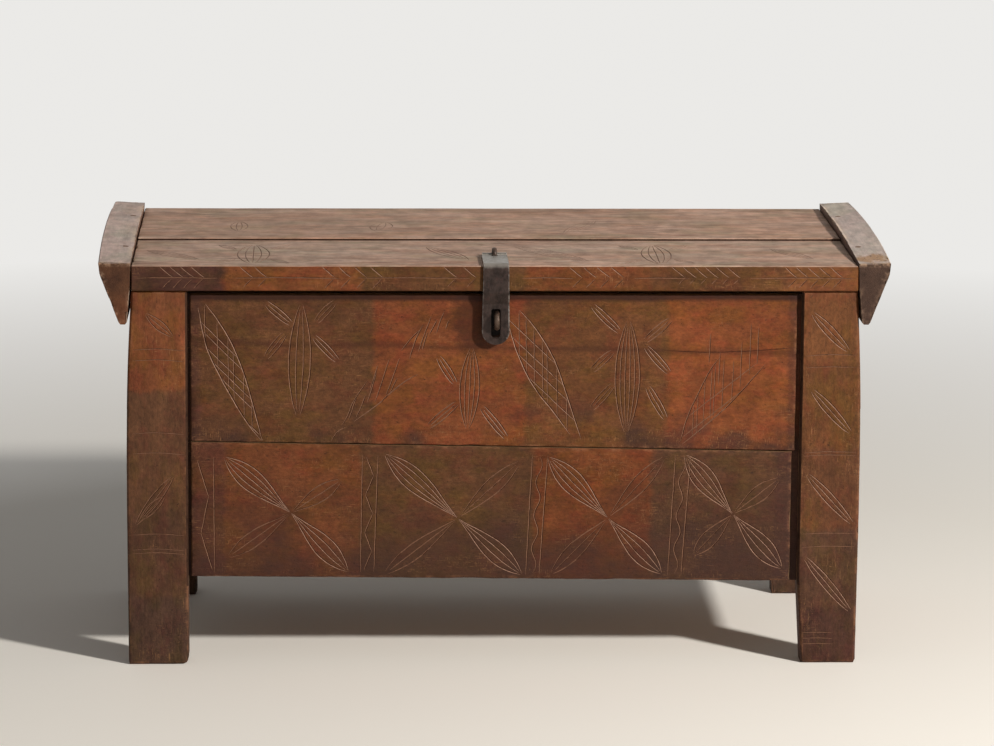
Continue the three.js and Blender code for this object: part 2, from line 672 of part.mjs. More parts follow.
function haspSlot() {
  const low = LOCK_Z - LOCK_BOW - LOCK_WIRE / 2 - SLOT_BELOW_STAPLE;
  const high = LOCK_Z + LOCK_BOW + LOCK_WIRE / 2 + SLOT_ABOVE_STAPLE;
  const left = HASP_MIDDLE - SLOT_WIDTH / 2;
  const right = HASP_MIDDLE + SLOT_WIDTH / 2;
  const shape = roundedRectangle(left, low, right, high, SLOT_CORNER);
  const back = STRAP_FACE + HASP_THICK + OVERRUN;
  return solid(frontToBack(shape, STRAP_FACE - OVERRUN, back, 0, SLOT_CORNER_STEPS));
}

function hasp() {
  const left = HASP_MIDDLE - HASP_WIDTH / 2;
  const right = HASP_MIDDLE + HASP_WIDTH / 2;
  const strip = sideToSide(haspProfile(), left - OVERRUN, right + OVERRUN, 0, HASP_BEND_STEPS);
  const front = LID_FRONT_EDGE - OVERRUN;
  const plan = frontToBack(haspOutline(), front, KNUCKLE_Y + OVERRUN);
  const basis = axisAt(X_AXIS, 0, KNUCKLE_Y, KNUCKLE_Z);
  const knuckle = solid(rod(KNUCKLE_RADIUS, KNUCKLE_SIDES, left, right, basis));
  const holeBack = KNUCKLE_Y - KNUCKLE_RADIUS;
  const hole = block(
    HASP_MIDDLE - LOOP_HOLE_WIDTH / 2, HASP_MIDDLE + LOOP_HOLE_WIDTH / 2,
    holeBack - LOOP_HOLE_LENGTH, holeBack + KNUCKLE_RADIUS,
    LID_FRONT_TOP, KNUCKLE_Z + KNUCKLE_RADIUS,
  );
  return solid(strip).intersect(solid(plan)).subtract(hole).add(knuckle).subtract(haspSlot());
}

// A part of a circle across the chest, from one angle to another.
class Bow extends THREE.Curve {
  constructor(y, z, radius, from, to) {
    super();
    this.middle = new THREE.Vector2(y, z);
    this.radius = radius;
    this.from = from;
    this.to = to;
  }

  getPoint(share, target = new THREE.Vector3()) {
    const angle = this.from + (this.to - this.from) * share;
    const y = this.middle.x + this.radius * Math.cos(angle);
    const z = this.middle.y + this.radius * Math.sin(angle);
    return target.set(0, y, z);
  }
}

// A staple's wire, drawn pointing up: a bow on two legs whose ends are clenched outwards.
function staplePath({ wire, bow, legs }) {
  const line = (y0, z0, y1, z1) =>
    new THREE.LineCurve3(new THREE.Vector3(0, y0, z0), new THREE.Vector3(0, y1, z1));
  const bend = wire / 2 + REST_GAP;
  const low = -legs;
  const out = bow + bend;
  const path = new THREE.CurvePath();
  path.add(line(out + CLENCH_LENGTH, low, out, low));
  path.add(new Bow(out, low + bend, bend, Math.PI * 1.5, Math.PI));
  path.add(line(bow, low + bend, bow, 0));
  path.add(new Bow(0, 0, bow, 0, Math.PI));
  path.add(line(-bow, 0, -bow, low + bend));
  path.add(new Bow(-out, low + bend, bend, 0, -Math.PI / 2));
  path.add(line(-out, low, -out - CLENCH_LENGTH, low));
  return path;
}

// Each staple's size, from the middle of its bow, and the basis that stands it in its place.
function lockStaple() {
  const middle = STRAP_FACE - LOCK_EYE - LOCK_WIRE / 2 + LOCK_BOW;
  return {
    wire: LOCK_WIRE,
    bow: LOCK_BOW,
    legs: FACE_INNER + LOCK_WIRE / 2 + REST_GAP - middle,
    basis: DRAWN_FROM_THE_FRONT.clone().setPosition(LOCK_MIDDLE, middle, LOCK_Z),
  };
}

function lidStaple() {
  const middle = KNUCKLE_Z + LID_BOW_RISE;
  return {
    wire: LID_WIRE,
    bow: LID_BOW,
    legs: middle - LID_BOTTOM + LID_WIRE / 2 + REST_GAP,
    basis: new THREE.Matrix4().setPosition(HASP_MIDDLE, KNUCKLE_Y, middle),
  };
}

function staple(sizes) {
  const { wire, basis } = sizes;
  const path = staplePath(sizes);
  const corners = [];
  for (let i = 0; i < WIRE_SIDES; i += 1) {
    const angle = (2 * Math.PI * i) / WIRE_SIDES;
    corners.push([(wire / 2) * Math.cos(angle), (wire / 2) * Math.sin(angle)]);
  }
  const geometry = new THREE.ExtrudeGeometry(outline(corners), {
    steps: Math.round(path.getLength() / WIRE_STEP),
    extrudePath: path,
    bevelEnabled: false,
  });
  return solid(geometry.applyMatrix4(basis));
}

// Holes for a staple's two legs.
function stapleHoles({ wire, bow, legs, basis }) {
  const [lower, upper] = [-bow, bow].map((away) => {
    const shifted = basis.clone().multiply(new THREE.Matrix4().makeTranslation(0, away, 0));
    return solid(rod(wire / 2 + PEG_FIT, WIRE_SIDES, -legs - OVERRUN, wire, shifted));
  });
  return lower.add(upper);
}

// A named piece with its own finish.
function piece(name, body, color, roughness = WOOD_ROUGHNESS, metalness = 0) {
  const { vertProperties, triVerts } = body.getMesh();
  const geometry = new THREE.BufferGeometry();
  geometry.setAttribute("position", new THREE.BufferAttribute(vertProperties, 3));
  geometry.setIndex(new THREE.BufferAttribute(triVerts, 1));
  geometry.computeVertexNormals();
  const material = new THREE.MeshStandardMaterial({ color, roughness, metalness, flatShading: true });
  const mesh = new THREE.Mesh(geometry, material);
  mesh.name = name;
  return mesh;
}

function ironPiece(name, body) {
  return piece(name, body, IRON, IRON_ROUGHNESS, IRON_METALNESS);
}

function makeCarcase() {
  const carcase = new THREE.Group();
  const faces = { front: "front", rear: "back" };
  for (const end of ENDS) {
    for (const [sideName, side] of Object.entries(SIDES)) {
      carcase.add(piece(`post_${end}_${sideName}`, post(side, end), OLIVE_STAIN));
    }
    for (const level of ["lower", "upper"]) {
      const stain = level === "upper" ? RED_STAIN : OLIVE_STAIN;
      const wood = facePlank(end, level);
      const holed = end === "front" && level === "upper" ? wood.subtract(stapleHoles(lockStaple())) : wood;
      carcase.add(piece(`${faces[end]}_plank_${level}`, holed, stain));
    }
  }
  for (const [sideName, side] of Object.entries(SIDES)) {
    for (const level of ["lower", "upper"]) {
      carcase.add(piece(`side_plank_${sideName}_${level}`, sidePlank(side, level), RED_STAIN));
      for (const end of ENDS) {
        const inner = peg(-facePegDepth(), PEG_PROUD, facePegAxis(side, end, level));
        const outer = peg(-sidePegDepth(), OVERRUN, sidePegAxis(side, end, level));
        const flush = solid(outer).intersect(postBlank(side, end));
        carcase.add(piece(`${faces[end]}_peg_${sideName}_${level}`, solid(inner), BARE_WOOD));
        carcase.add(piece(`side_peg_${sideName}_${end}_${level}`, flush, BARE_WOOD));
      }
    }
  }
  for (let number = 0; number < FLOOR_BOARDS; number += 1) {
    carcase.add(piece(`floor_board_${number + 1}`, floorBoard(number), BARE_WOOD));
  }
  carcase.add(ironPiece("lock_staple", staple(lockStaple())));
  return carcase;
}

function makeLid() {
  const lid = new THREE.Group();
  for (const board of ENDS) {
    lid.add(piece(`lid_board_${board}`, lidBoard(board), WORN_TOP));
  }
  for (const [sideName, side] of Object.entries(SIDES)) {
    lid.add(piece(`lid_cleat_${sideName}`, cleat(side), WORN_TOP));
    lid.add(piece(`hinge_pin_${sideName}`, hingePin(side), BARE_WOOD));
    for (const board of ENDS) {
      lid.add(piece(`lid_peg_${sideName}_${board}`, lidPeg(board, side), BARE_WOOD));
    }
  }
  lid.add(ironPiece("lid_staple", staple(lidStaple())));
  return lid;
}

const chest = new THREE.Group();
chest.add(makeCarcase(), makeLid(), ironPiece("hasp", hasp()));

// The origin is on the floor, under the middle of the whole chest.
const box = new THREE.Box3().setFromObject(chest);
chest.position.set(-(box.min.x + box.max.x) / 2, -(box.min.y + box.max.y) / 2, 0);

export default chest;
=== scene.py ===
"""A post-and-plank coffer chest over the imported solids: worn wood with scored ornament, and forged iron."""

import math

import bmesh
import bpy
from mathutils import Matrix, Vector, noise


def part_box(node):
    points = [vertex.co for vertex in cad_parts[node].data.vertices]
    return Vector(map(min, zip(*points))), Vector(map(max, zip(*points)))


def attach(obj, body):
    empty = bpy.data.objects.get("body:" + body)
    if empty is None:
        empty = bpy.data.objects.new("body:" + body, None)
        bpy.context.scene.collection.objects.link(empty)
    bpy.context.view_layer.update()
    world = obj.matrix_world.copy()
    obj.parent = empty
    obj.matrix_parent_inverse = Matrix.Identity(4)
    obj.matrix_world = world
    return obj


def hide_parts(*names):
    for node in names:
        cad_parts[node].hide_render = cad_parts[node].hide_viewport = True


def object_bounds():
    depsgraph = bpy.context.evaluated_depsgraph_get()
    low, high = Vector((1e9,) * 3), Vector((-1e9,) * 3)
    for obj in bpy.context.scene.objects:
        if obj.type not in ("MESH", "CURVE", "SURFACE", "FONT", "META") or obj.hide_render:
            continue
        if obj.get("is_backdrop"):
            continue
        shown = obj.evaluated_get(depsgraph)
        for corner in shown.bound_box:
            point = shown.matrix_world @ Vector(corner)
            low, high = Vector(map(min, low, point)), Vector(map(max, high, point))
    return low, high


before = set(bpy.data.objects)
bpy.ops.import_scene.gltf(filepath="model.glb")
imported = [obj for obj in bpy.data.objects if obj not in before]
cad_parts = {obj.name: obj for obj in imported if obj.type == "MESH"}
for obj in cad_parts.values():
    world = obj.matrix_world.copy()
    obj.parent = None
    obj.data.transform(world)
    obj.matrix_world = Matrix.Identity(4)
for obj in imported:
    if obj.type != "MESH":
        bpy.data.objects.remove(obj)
cad_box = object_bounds()

MM = 0.001
AXES = {"x": 0, "y": 1, "z": 2}


def linked(name, data):
    """A new object in the scene, with this data."""
    thing = bpy.data.objects.new(name, data)
    bpy.context.scene.collection.objects.link(thing)
    return thing


def seat_of(across, up, out, origin):
    """Takes a thing drawn on the x, y and z axes to these directions and this place."""
    seat = Matrix((across, up, out)).transposed().to_4x4()
    seat.translation = origin
    return seat


def feed(tree, socket, value):
    """Joins a socket to another node's output, or gives it a plain value."""
    if isinstance(value, bpy.types.NodeSocket):
        tree.links.new(value, socket)
    else:
        socket.default_value = value


def add(tree, kind, feeds=None, out=0, **settings):
    """Adds a node with its settings, fed by socket name or number, and gives one output."""
    node = tree.nodes.new(kind)
    for name, value in settings.items():
        setattr(node, name, value)
    for name, value in (feeds or {}).items():
        feed(tree, node.inputs[name], value)
    return node.outputs[out]


# The camera, fitted to the posts, the cleats and the lid in the photograph. Angles are in radians.

LENS_MM = 166.17
SENSOR_MM = 36.0
CAMERA_PLACE = (-0.26521, -7.27890, 1.77151)
CAMERA_TURN = 0.0383
CAMERA_DROP = 0.1844
CAMERA_ROLL = -0.007
VIEW_NEAR = 0.1
VIEW_FAR = 200.0


def place_camera():
    """Sets the camera where the photograph was taken from."""
    turn, drop, roll = CAMERA_TURN, CAMERA_DROP, CAMERA_ROLL
    forward = Vector((math.sin(turn) * math.cos(drop), math.cos(turn) * math.cos(drop), -math.sin(drop)))
    level = Vector((math.cos(turn), -math.sin(turn), 0.0))
    upright = level.cross(forward)
    side = level * math.cos(roll) - upright * math.sin(roll)
    top = level * math.sin(roll) + upright * math.cos(roll)
    lens = bpy.data.cameras.new("camera")
    lens.lens, lens.sensor_width = LENS_MM, SENSOR_MM
    lens.clip_start, lens.clip_end = VIEW_NEAR, VIEW_FAR
    camera = linked("camera", lens)
    camera.matrix_world = seat_of(side, top, -forward, CAMERA_PLACE)
    bpy.context.scene.camera = camera


# Light: a lamp in front on the right, a soft room, and a pale floor. Places are in metres.

LAMP_TOWARDS = (1.05, -1.0, 0.7)
LAMP_AWAY = 6.5
LAMP_BREADTH = 0.5
LAMP_WATTS = 450.0
LAMP_COLOUR = (1.0, 0.97, 0.92)
ROOM_LIGHT = 0.15
ROOM_SEEN = 0.85
ROOM_COLOUR = (1.0, 0.985, 0.96)
FLOOR_COLOUR = (0.8, 0.765, 0.71)
FLOOR_SEEN = 1.33
FAR_FLOOR_COLOUR = (0.83, 0.82, 0.8)
FLOOR_NEAR = 1.2
FLOOR_FAR = 3.8
FLOOR_REACH = 30.0


def seen_rays(tree):
    """1 for what the camera sees, straight or in a sheen or through glass, and 0 for light on things."""
    rays = add(tree, "ShaderNodeLightPath").node.outputs
    seen = rays["Is Camera Ray"]
    for kind in ("Is Glossy Ray", "Is Transmission Ray"):
        seen = add(tree, "ShaderNodeMath", {0: seen, 1: rays[kind]}, operation="MAXIMUM")
    return seen


def light_room():
    """The lamp, and a world that looks pale but lights the chest softly."""
    towards = Vector(LAMP_TOWARDS).normalized()
    lamp = bpy.data.lights.new("window", "AREA")
    lamp.shape = "DISK"
    lamp.size = LAMP_BREADTH
    lamp.energy = LAMP_WATTS
    lamp.color = LAMP_COLOUR
    holder = linked("window", lamp)
    holder.location = (cad_box[0] + cad_box[1]) / 2 + towards * LAMP_AWAY
    holder.rotation_mode = "QUATERNION"
    holder.rotation_quaternion = (-towards).to_track_quat("-Z", "Y")

    world = bpy.data.worlds.new("room")
    world.use_nodes = True
    bpy.context.scene.world = world
    tree = world.node_tree
    sky = tree.nodes["Background"]
    sky.inputs["Color"].default_value = (*ROOM_COLOUR, 1.0)
    feeds = {"Value": seen_rays(tree), "To Min": ROOM_LIGHT, "To Max": ROOM_SEEN}
    feed(tree, sky.inputs["Strength"], add(tree, "ShaderNodeMapRange", feeds))


def lay_floor():
    """A plain pale floor that fills the view."""
    mesh = bpy.data.meshes.new("floor")
    reach = FLOOR_REACH
    corners = [(-reach, -reach, 0), (reach, -reach, 0), (reach, reach, 0), (-reach, reach, 0)]
    mesh.from_pydata(corners, [], [(0, 1, 2, 3)])
    mesh.materials.append(pale_floor())
    floor = linked("floor", mesh)
    floor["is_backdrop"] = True


def pale_floor():
    """Plain pale paint. Where the camera sees it far behind the chest, it fades into a paler wall tone."""
    paint = Finish("pale_floor")
    seen = seen_rays(paint.tree)
    paint.colour = FLOOR_COLOUR
    paint.shade(seen, 0.0, 1.0, 1.0, FLOOR_SEEN)
    paint.done(0.75)
    far = paint.times(paint.grade(paint.away((0.0, 0.0, 0.0)), FLOOR_NEAR, FLOOR_FAR), seen)
    glow = paint.add("ShaderNodeEmission", {"Color": (*FAR_FLOOR_COLOUR, 1.0), "Strength": 1.0})
    mixed = paint.add("ShaderNodeMixShader", {0: far, 1: paint.shader.outputs[0], 2: glow})
    feed(paint.tree, paint.tree.nodes["Material Output"].inputs["Surface"], mixed)
    return paint.material


# Finishes.


def tone(code):
    """A colour written as six hex digits, as linear light."""
    parts = [int(code[i:i + 2], 16) / 255 for i in (0, 2, 4)]
    linear = [p / 12.92 if p <= 0.04045 else ((p + 0.055) / 1.055) ** 2.4 for p in parts]
    return (*linear, 1.0)


class Finish:
    """The nodes of one finish. It reads places on the piece in metres, with a grain along one axis.

    Its colour starts as a mix of two tones, and each later step shades it, tints it or lays a tone over it.
    """

    def __init__(self, name, grain="x"):
        self.material = bpy.data.materials.new(name)
        self.material.use_nodes = True
        self.tree = self.material.node_tree
        self.shader = self.tree.nodes["Principled BSDF"]
        self.place = self.add("ShaderNodeTexCoord", out="Object")
        self.grain = AXES[grain]
        self.colour = None

    def add(self, kind, feeds=None, out=0, **settings):
        return add(self.tree, kind, feeds, out, **settings)

    def math(self, operation, first, second=0.0):
        return self.add("ShaderNodeMath", {0: first, 1: second}, operation=operation)

    def sum(self, first, second):
        return self.math("ADD", first, second)

    def times(self, first, second):
        return self.math("MULTIPLY", first, second)

    def vector(self, operation, first, second=(0.0, 0.0, 0.0), out=0):
        return self.add("ShaderNodeVectorMath", {0: first, 1: second}, out, operation=operation)

    def axis(self, name):
        """The place along one axis, in metres."""
        return self.add("ShaderNodeSeparateXYZ", {0: self.place}, AXES[name])

    def away(self, centre, spans=(1.0, 1.0, 1.0)):
        """How far the place is from a centre, with the way along each axis times its span."""
        spot = self.vector("MULTIPLY", self.vector("SUBTRACT", self.place, centre), spans)
        return self.vector("LENGTH", spot, out=1)

    def cloud(self, along, across, shift, detail=2.0, rough=0.5, twist=0.0):
        """Noise with features this long with the grain and this broad over it, in millimetres."""
        scale = [1 / MM / across] * 3
        scale[self.grain] = 1 / MM / along
        shifts = (shift, shift * 1.7, shift * 2.3)
        spot = self.add("ShaderNodeMapping", {"Vector": self.place, "Location": shifts, "Scale": scale})
        feeds = {"Vector": spot, "Scale": 1.0, "Detail": detail, "Roughness": rough, "Distortion": twist}
        return self.add("ShaderNodeTexNoise", feeds)

    def grade(self, value, low, high, first=0.0, last=1.0):
        """Takes a value from low..high to first..last, and keeps it there."""
        feeds = {"Value": value, "From Min": low, "From Max": high, "To Min": first, "To Max": last}
        return self.add("ShaderNodeMapRange", feeds)

    def worn(self):
        """How much the arris here is rubbed, from the piece's own attribute."""
        return self.add("ShaderNodeAttribute", out=2, attribute_name="wear")

    def blend(self, share, first, second):
        """Sets the colour between two others."""
        feeds = {0: share, 6: first, 7: second}
        self.colour = self.add("ShaderNodeMix", feeds, 2, data_type="RGBA", clamp_factor=True)

    def start(self, value, low, high, first, last):
        """Starts with a tone that goes over to another as a value goes from low to high."""
        self.blend(self.grade(value, low, high), tone(first), tone(last))

    def lay(self, share, code):
        """Lays a tone over the colour."""
        self.blend(share, self.colour, tone(code))

    def shade(self, value, low, high, first, last):
        """Takes the colour times a number that goes from first to last as a value goes from low to high."""
        feeds = {0: self.colour, "Scale": self.grade(value, low, high, first, last)}
        self.colour = self.add("ShaderNodeVectorMath", feeds, operation="SCALE")

    def tint(self, share, *parts):
        """Takes the colour towards itself with its red, green and blue parts times these."""
        self.blend(share, self.colour, self.vector("MULTIPLY", self.colour, parts))

    def relief(self, height, depth):
        """Small relief of this depth in metres."""
        bump = self.add("ShaderNodeBump", {"Height": height, "Strength": 1.0, "Distance": depth})
        feed(self.tree, self.shader.inputs["Normal"], bump)

    def done(self, rough, gloss=0.3):
        feed(self.tree, self.shader.inputs["Specular IOR Level"], gloss)
        feed(self.tree, self.shader.inputs["Base Color"], self.colour)
        feed(self.tree, self.shader.inputs["Roughness"], rough)
        return self.material


# Blocks of stain, in millimetres: how soft and how ragged their borders are, and how far the last one runs.

BAND_SOFT = 7.0
BAND_RAGGED = 9.0
BAND_TAIL = 400.0


def stain_bands(wood, axis, bands):
    """Starts with blocks of stain along an axis. Each is (where it starts in mm, tone)."""
    start, end = bands[0][0], bands[-1][0] + BAND_TAIL
    half = BAND_RAGGED * MM / 2
    wander = wood.grade(wood.cloud(60.0, 22.0, 3.1, 4.0, 0.6), 0.3, 0.7, -half, half)
    share = wood.grade(wood.sum(wood.axis(axis), wander), start * MM, end * MM)
    wood.colour = wood.add("ShaderNodeValToRGB", {0: share})
    stops = wood.colour.node.color_ramp.elements
    stops[0].color, stops[1].color = tone(bands[0][1]), tone(bands[-1][1])
    for (_, before), (border, after) in zip(bands, bands[1:]):
        stops.new((border - BAND_SOFT / 2 - start) / (end - start)).color = tone(before)
        stops.new((border + BAND_SOFT / 2 - start) / (end - start)).color = tone(after)


# What only the upper front plank shows, in millimetres up it: nicks low down, a dark line that runs along it,
# and painted shade under the lid. Iron has blackened it behind the strap's slot, where painted shade also
# darkens what shows through the slot, and a painted shadow of the strap lies softly beside it. Each of these
# two is (centre in metres, how fast it fades along each axis, strength, tone), the strap's shadow first.

CHAFED = (355, 385)
DARK_LINE = 503.7
DARK_LINE_SLOPE = -0.0183
LID_SHADE = (574, 580)
STRAP_SHADOW_AND_SLOT_STAIN = (
    ((-0.031, -0.2689, 0.546), (26.0, 0.0, 19.0), 0.62, "35190f"),
    ((0.0006, -0.2689, 0.5445), (50.0, 0.0, 33.0), 0.97, "0f0a08"),
)


def mark_upper_plank(wood, broad, patchy):
    """The dark line along the upper plank, the iron stain with painted shade behind the strap's slot, and the
    strap's painted shadow.
    """
    line = wood.sum(wood.axis("z"), wood.times(wood.axis("x"), -DARK_LINE_SLOPE))
    wander = wood.grade(broad, 0.3, 0.7, -DARK_LINE * MM - 0.003, -DARK_LINE * MM + 0.003)
    away = wood.math("ABSOLUTE", wood.sum(line, wander))
    share = wood.times(wood.grade(away, 0.001, 0.0075, 0.62, 0.0), wood.grade(patchy, 0.36, 0.6, 0.4, 1.0))
    wood.lay(share, "3a1d12")
    # A painted shadow of the strap, then iron stain with painted shade behind its slot.
    for centre, spans, strength, code in STRAP_SHADOW_AND_SLOT_STAIN:
        near = wood.sum(wood.away(centre, spans), wood.grade(patchy, 0.3, 0.7, -0.15, 0.15))
        wood.lay(wood.grade(near, 0.7, 1.2, strength, 0.0), code)


def stained_wood(name, grain, bands, low_z=None, upper_plank=False):
    """Old oil stain in blocks on riven wood: smooth and mottled, darker low down, rubbed on the arrises."""
    wood = Finish(name, grain)
    stain_bands(wood, grain, bands)
    broad = wood.cloud(130.0, 70.0, 1.3, 3.0, 0.6)
    wood.shade(broad, 0.32, 0.68, 0.8, 1.16)
    olive = wood.cloud(70.0, 38.0, 6.9, 5.0, 0.65)
    wood.tint(wood.grade(olive, 0.46, 0.62), 0.93, 1.05, 0.74)
    red = wood.cloud(48.0, 32.0, 2.7, 5.0, 0.65)
    wood.tint(wood.grade(red, 0.48, 0.64), 1.04, 0.84, 0.92)
    patchy = wood.cloud(26.0, 16.0, 5.2, 7.0, 0.72)
    wood.shade(patchy, 0.3, 0.7, 0.66, 1.28)
    mottle = wood.cloud(7.0, 5.0, 9.7, 5.0, 0.72)
    wood.shade(mottle, 0.3, 0.7, 0.71, 1.24)
    # Darker low down: partly dirt and partly painted shade.
    if low_z:
        drift = wood.grade(wood.cloud(90.0, 90.0, 4.9, 3.0, 0.6), 0.32, 0.68, -0.055, 0.055)
        low_dirt_and_shade = wood.grade(wood.sum(wood.axis("z"), drift), low_z[0] * MM, low_z[1] * MM, 0.85, 0.0)
        wood.lay(wood.times(low_dirt_and_shade, wood.grade(patchy, 0.3, 0.6, 0.55, 1.0)), "38241f")
    lines = wood.cloud(120.0, 3.2, 2.4, 4.0, 0.65)
    wood.shade(lines, 0.32, 0.6, 0.93, 1.02)
    pores = wood.cloud(9.0, 1.5, 7.7)
    wood.shade(pores, 0.3, 0.42, 0.86, 1.0)
    specks = wood.cloud(6.0, 4.5, 9.1, 3.0, 0.6)
    wood.lay(wood.grade(specks, 0.64, 0.74, 0.0, 0.7), "23140e")
    where = wood.grade(wood.cloud(80.0, 50.0, 8.4, 4.0), 0.48, 0.64)
    scuffs = wood.grade(wood.cloud(17.0, 1.6, 4.6, 4.0, 0.75), 0.58, 0.68, 0.0, 0.6)
    nicks = wood.grade(wood.cloud(1.4, 11.0, 6.1, 4.0, 0.75), 0.58, 0.68, 0.0, 0.55)
    marks = wood.times(wood.math("MAXIMUM", scuffs, nicks), where)
    if upper_plank:
        low = wood.grade(wood.axis("z"), CHAFED[0] * MM, CHAFED[1] * MM, 1.0, 0.0)
        marks = wood.sum(marks, wood.times(nicks, low))
    wood.lay(marks, "a67850")
    if upper_plank:
        mark_upper_plank(wood, broad, patchy)
    wood.lay(wood.times(wood.worn(), wood.grade(patchy, 0.48, 0.66, 0.0, 0.6)), "8a5f43")
    # Painted shade: a dark band at the top of the plank, under the lid's overhang.
    if upper_plank:
        edge = wood.sum(wood.axis("z"), wood.grade(broad, 0.3, 0.7, -0.002, 0.002))
        wood.lay(wood.grade(edge, LID_SHADE[0] * MM, LID_SHADE[1] * MM, 0.0, 0.85), "2b140d")
    height = wood.sum(wood.times(mottle, 0.5), wood.times(patchy, 1.1))
    wood.relief(wood.sum(wood.times(lines, 0.3), height), 0.0011)
    return wood.done(wood.grade(patchy, 0.3, 0.7, 0.48, 0.68), 0.16)


def weathered_wood(name, grain, pale, mid, dark, red_share, blotch, streaky=1.0, barred=0.0, holes_at=None):
    """Grey-brown wood of a lid that has lost its stain, with streaks along it or tool marks over it."""
    wood = Finish(name, grain)
    broad = wood.cloud(260.0, 60.0, 1.9, 5.0, 0.65)
    wood.start(broad, 0.36, 0.64, mid, pale)
    grey = wood.cloud(110.0, 75.0, 5.1, 5.0, 0.65)
    wood.tint(wood.grade(grey, 0.46, 0.6, 0.0, 0.8), 0.78, 0.83, 0.82)
    streaks = wood.cloud(75.0, 9.0, 6.3, 7.0, 0.72, 0.9)
    where = wood.grade(wood.cloud(220.0, 110.0, 8.6, 4.0), 0.42, 0.58, 0.25, 1.0)
    wood.lay(wood.times(where, wood.grade(streaks, 0.48, 0.64, 0.0, 0.9 * streaky)), dark)
    wood.lay(wood.grade(streaks, 0.34, 0.44, 0.5 * streaky, 0.0), pale)
    red = wood.cloud(120.0, 40.0, 3.3, 5.0, 0.7)
    wood.tint(wood.times(wood.grade(red, 0.46, 0.62), red_share), 1.0, 0.87, 0.8)
    moss = wood.cloud(120.0, 70.0, 7.4, 4.0, 0.65)
    wood.tint(wood.grade(moss, 0.5, 0.63, 0.0, 0.8), 0.84, 0.92, 0.84)
    patchy = wood.cloud(*blotch, 4.8, 4.0, 0.65)
    wood.shade(patchy, 0.3, 0.7, 0.74, 1.24)
    bars = wood.cloud(26.0, 150.0, 3.9)
    wood.shade(bars, 0.38, 0.47, 1.0 - 0.24 * barred, 1.0)
    lines = wood.cloud(60.0, 4.0, 2.9, 3.0, 0.6)
    wood.shade(lines, 0.32, 0.58, 1.0 - 0.2 * streaky, 1.03)
    split = wood.grade(wood.cloud(75.0, 4.0, 5.5, 4.0, 0.6), 0.28, 0.33, streaky, 0.0)
    wood.lay(wood.times(split, 0.8), "3a251b")
    if holes_at:
        near = wood.sum(wood.away(holes_at), wood.grade(patchy, 0.3, 0.7, -0.012, 0.012))
        near = wood.grade(near, 0.018, 0.036, 1.0, 0.0)
        wood.lay(wood.times(near, 0.75), "a67c50")
        holes = wood.grade(wood.cloud(4.6, 4.6, 8.3), 0.34, 0.38, 1.0, 0.0)
        wood.lay(wood.times(holes, near), "2a1a11")
    wood.lay(wood.times(wood.worn(), wood.grade(patchy, 0.42, 0.6, 0.1, 0.85)), "cdb49c")
    height = wood.sum(wood.times(lines, 0.6 * streaky), wood.times(split, -0.6))
    height = wood.sum(height, wood.times(streaks, 0.3 + 0.5 * streaky))
    wood.relief(wood.sum(height, wood.times(bars, 0.5 * barred)), 0.0013)
    return wood.done(wood.grade(streaks, 0.3, 0.7, 0.6, 0.78), 0.2)


def bare_wood(name, grain, pale="8f7050", mid="6f523a", dark="45301f"):
    """Unstained wood of the inside, floor and underside: dry, matt and dusty."""
    wood = Finish(name, grain)
    wood.start(wood.cloud(300.0, 34.0, 2.2, 4.0, 0.6), 0.32, 0.68, mid, pale)
    streaks = wood.cloud(220.0, 5.0, 7.1, 4.0, 0.6, 0.2)
    wood.lay(wood.grade(streaks, 0.5, 0.72, 0.0, 0.5), dark)
    lines = wood.cloud(130.0, 1.6, 4.4, 3.0)
    wood.shade(lines, 0.32, 0.54, 0.8, 1.04)
    stains = wood.cloud(150.0, 80.0, 8.8, 4.0, 0.6)
    wood.lay(wood.grade(stains, 0.52, 0.72, 0.0, 0.4), "3a281c")
    wood.lay(wood.times(wood.worn(), 0.4), pale)
    wood.relief(wood.sum(wood.times(lines, 0.6), wood.times(streaks, 0.6)), 0.0011)
    return wood.done(wood.grade(streaks, 0.3, 0.7, 0.68, 0.84))


def scored_wood(name, clean, dirty, clean_share):
    """The walls of a scored line, where the tool went through the stain."""
    wood = Finish(name)
    dirt = wood.cloud(14.0, 14.0, 3.7, 4.0, 0.65)
    wood.start(dirt, 0.62 - clean_share, 0.8 - clean_share, clean, dirty)
    fine = wood.cloud(3.0, 3.0, 1.1)
    wood.shade(fine, 0.3, 0.7, 0.8, 1.15)
    wood.relief(fine, 0.0002)
    return wood.done(wood.grade(dirt, 0.3, 0.7, 0.6, 0.75), 0.1)


def end_wood(name, deep, pale, tip):
    """End grain of a cleat: dark, with fine pits in place of lines, and worn to a warmer tone low down."""
    wood = Finish(name, "y")
    broad = wood.cloud(50.0, 40.0, 2.7, 4.0, 0.6)
    wood.start(broad, 0.32, 0.68, deep, pale)
    height = wood.axis("z")
    wood.lay(wood.grade(height, 0.55, 0.6, 0.7, 0.0), tip)
    patchy = wood.cloud(12.0, 9.0, 6.6, 6.0, 0.7)
    wood.shade(patchy, 0.34, 0.66, 0.78, 1.16)
    pits = wood.cloud(6.0, 0.9, 1.8)
    wood.shade(pits, 0.3, 0.48, 0.75, 1.0)
    rubbed = wood.times(wood.worn(), wood.grade(patchy, 0.44, 0.56, 0.1, 0.95))
    wood.lay(wood.times(rubbed, wood.grade(height, 0.605, 0.632, 0.25, 1.0)), "b8967c")
    wood.relief(wood.sum(patchy, pits), 0.0008)
    return wood.done(wood.grade(broad, 0.3, 0.7, 0.6, 0.74), 0.16)


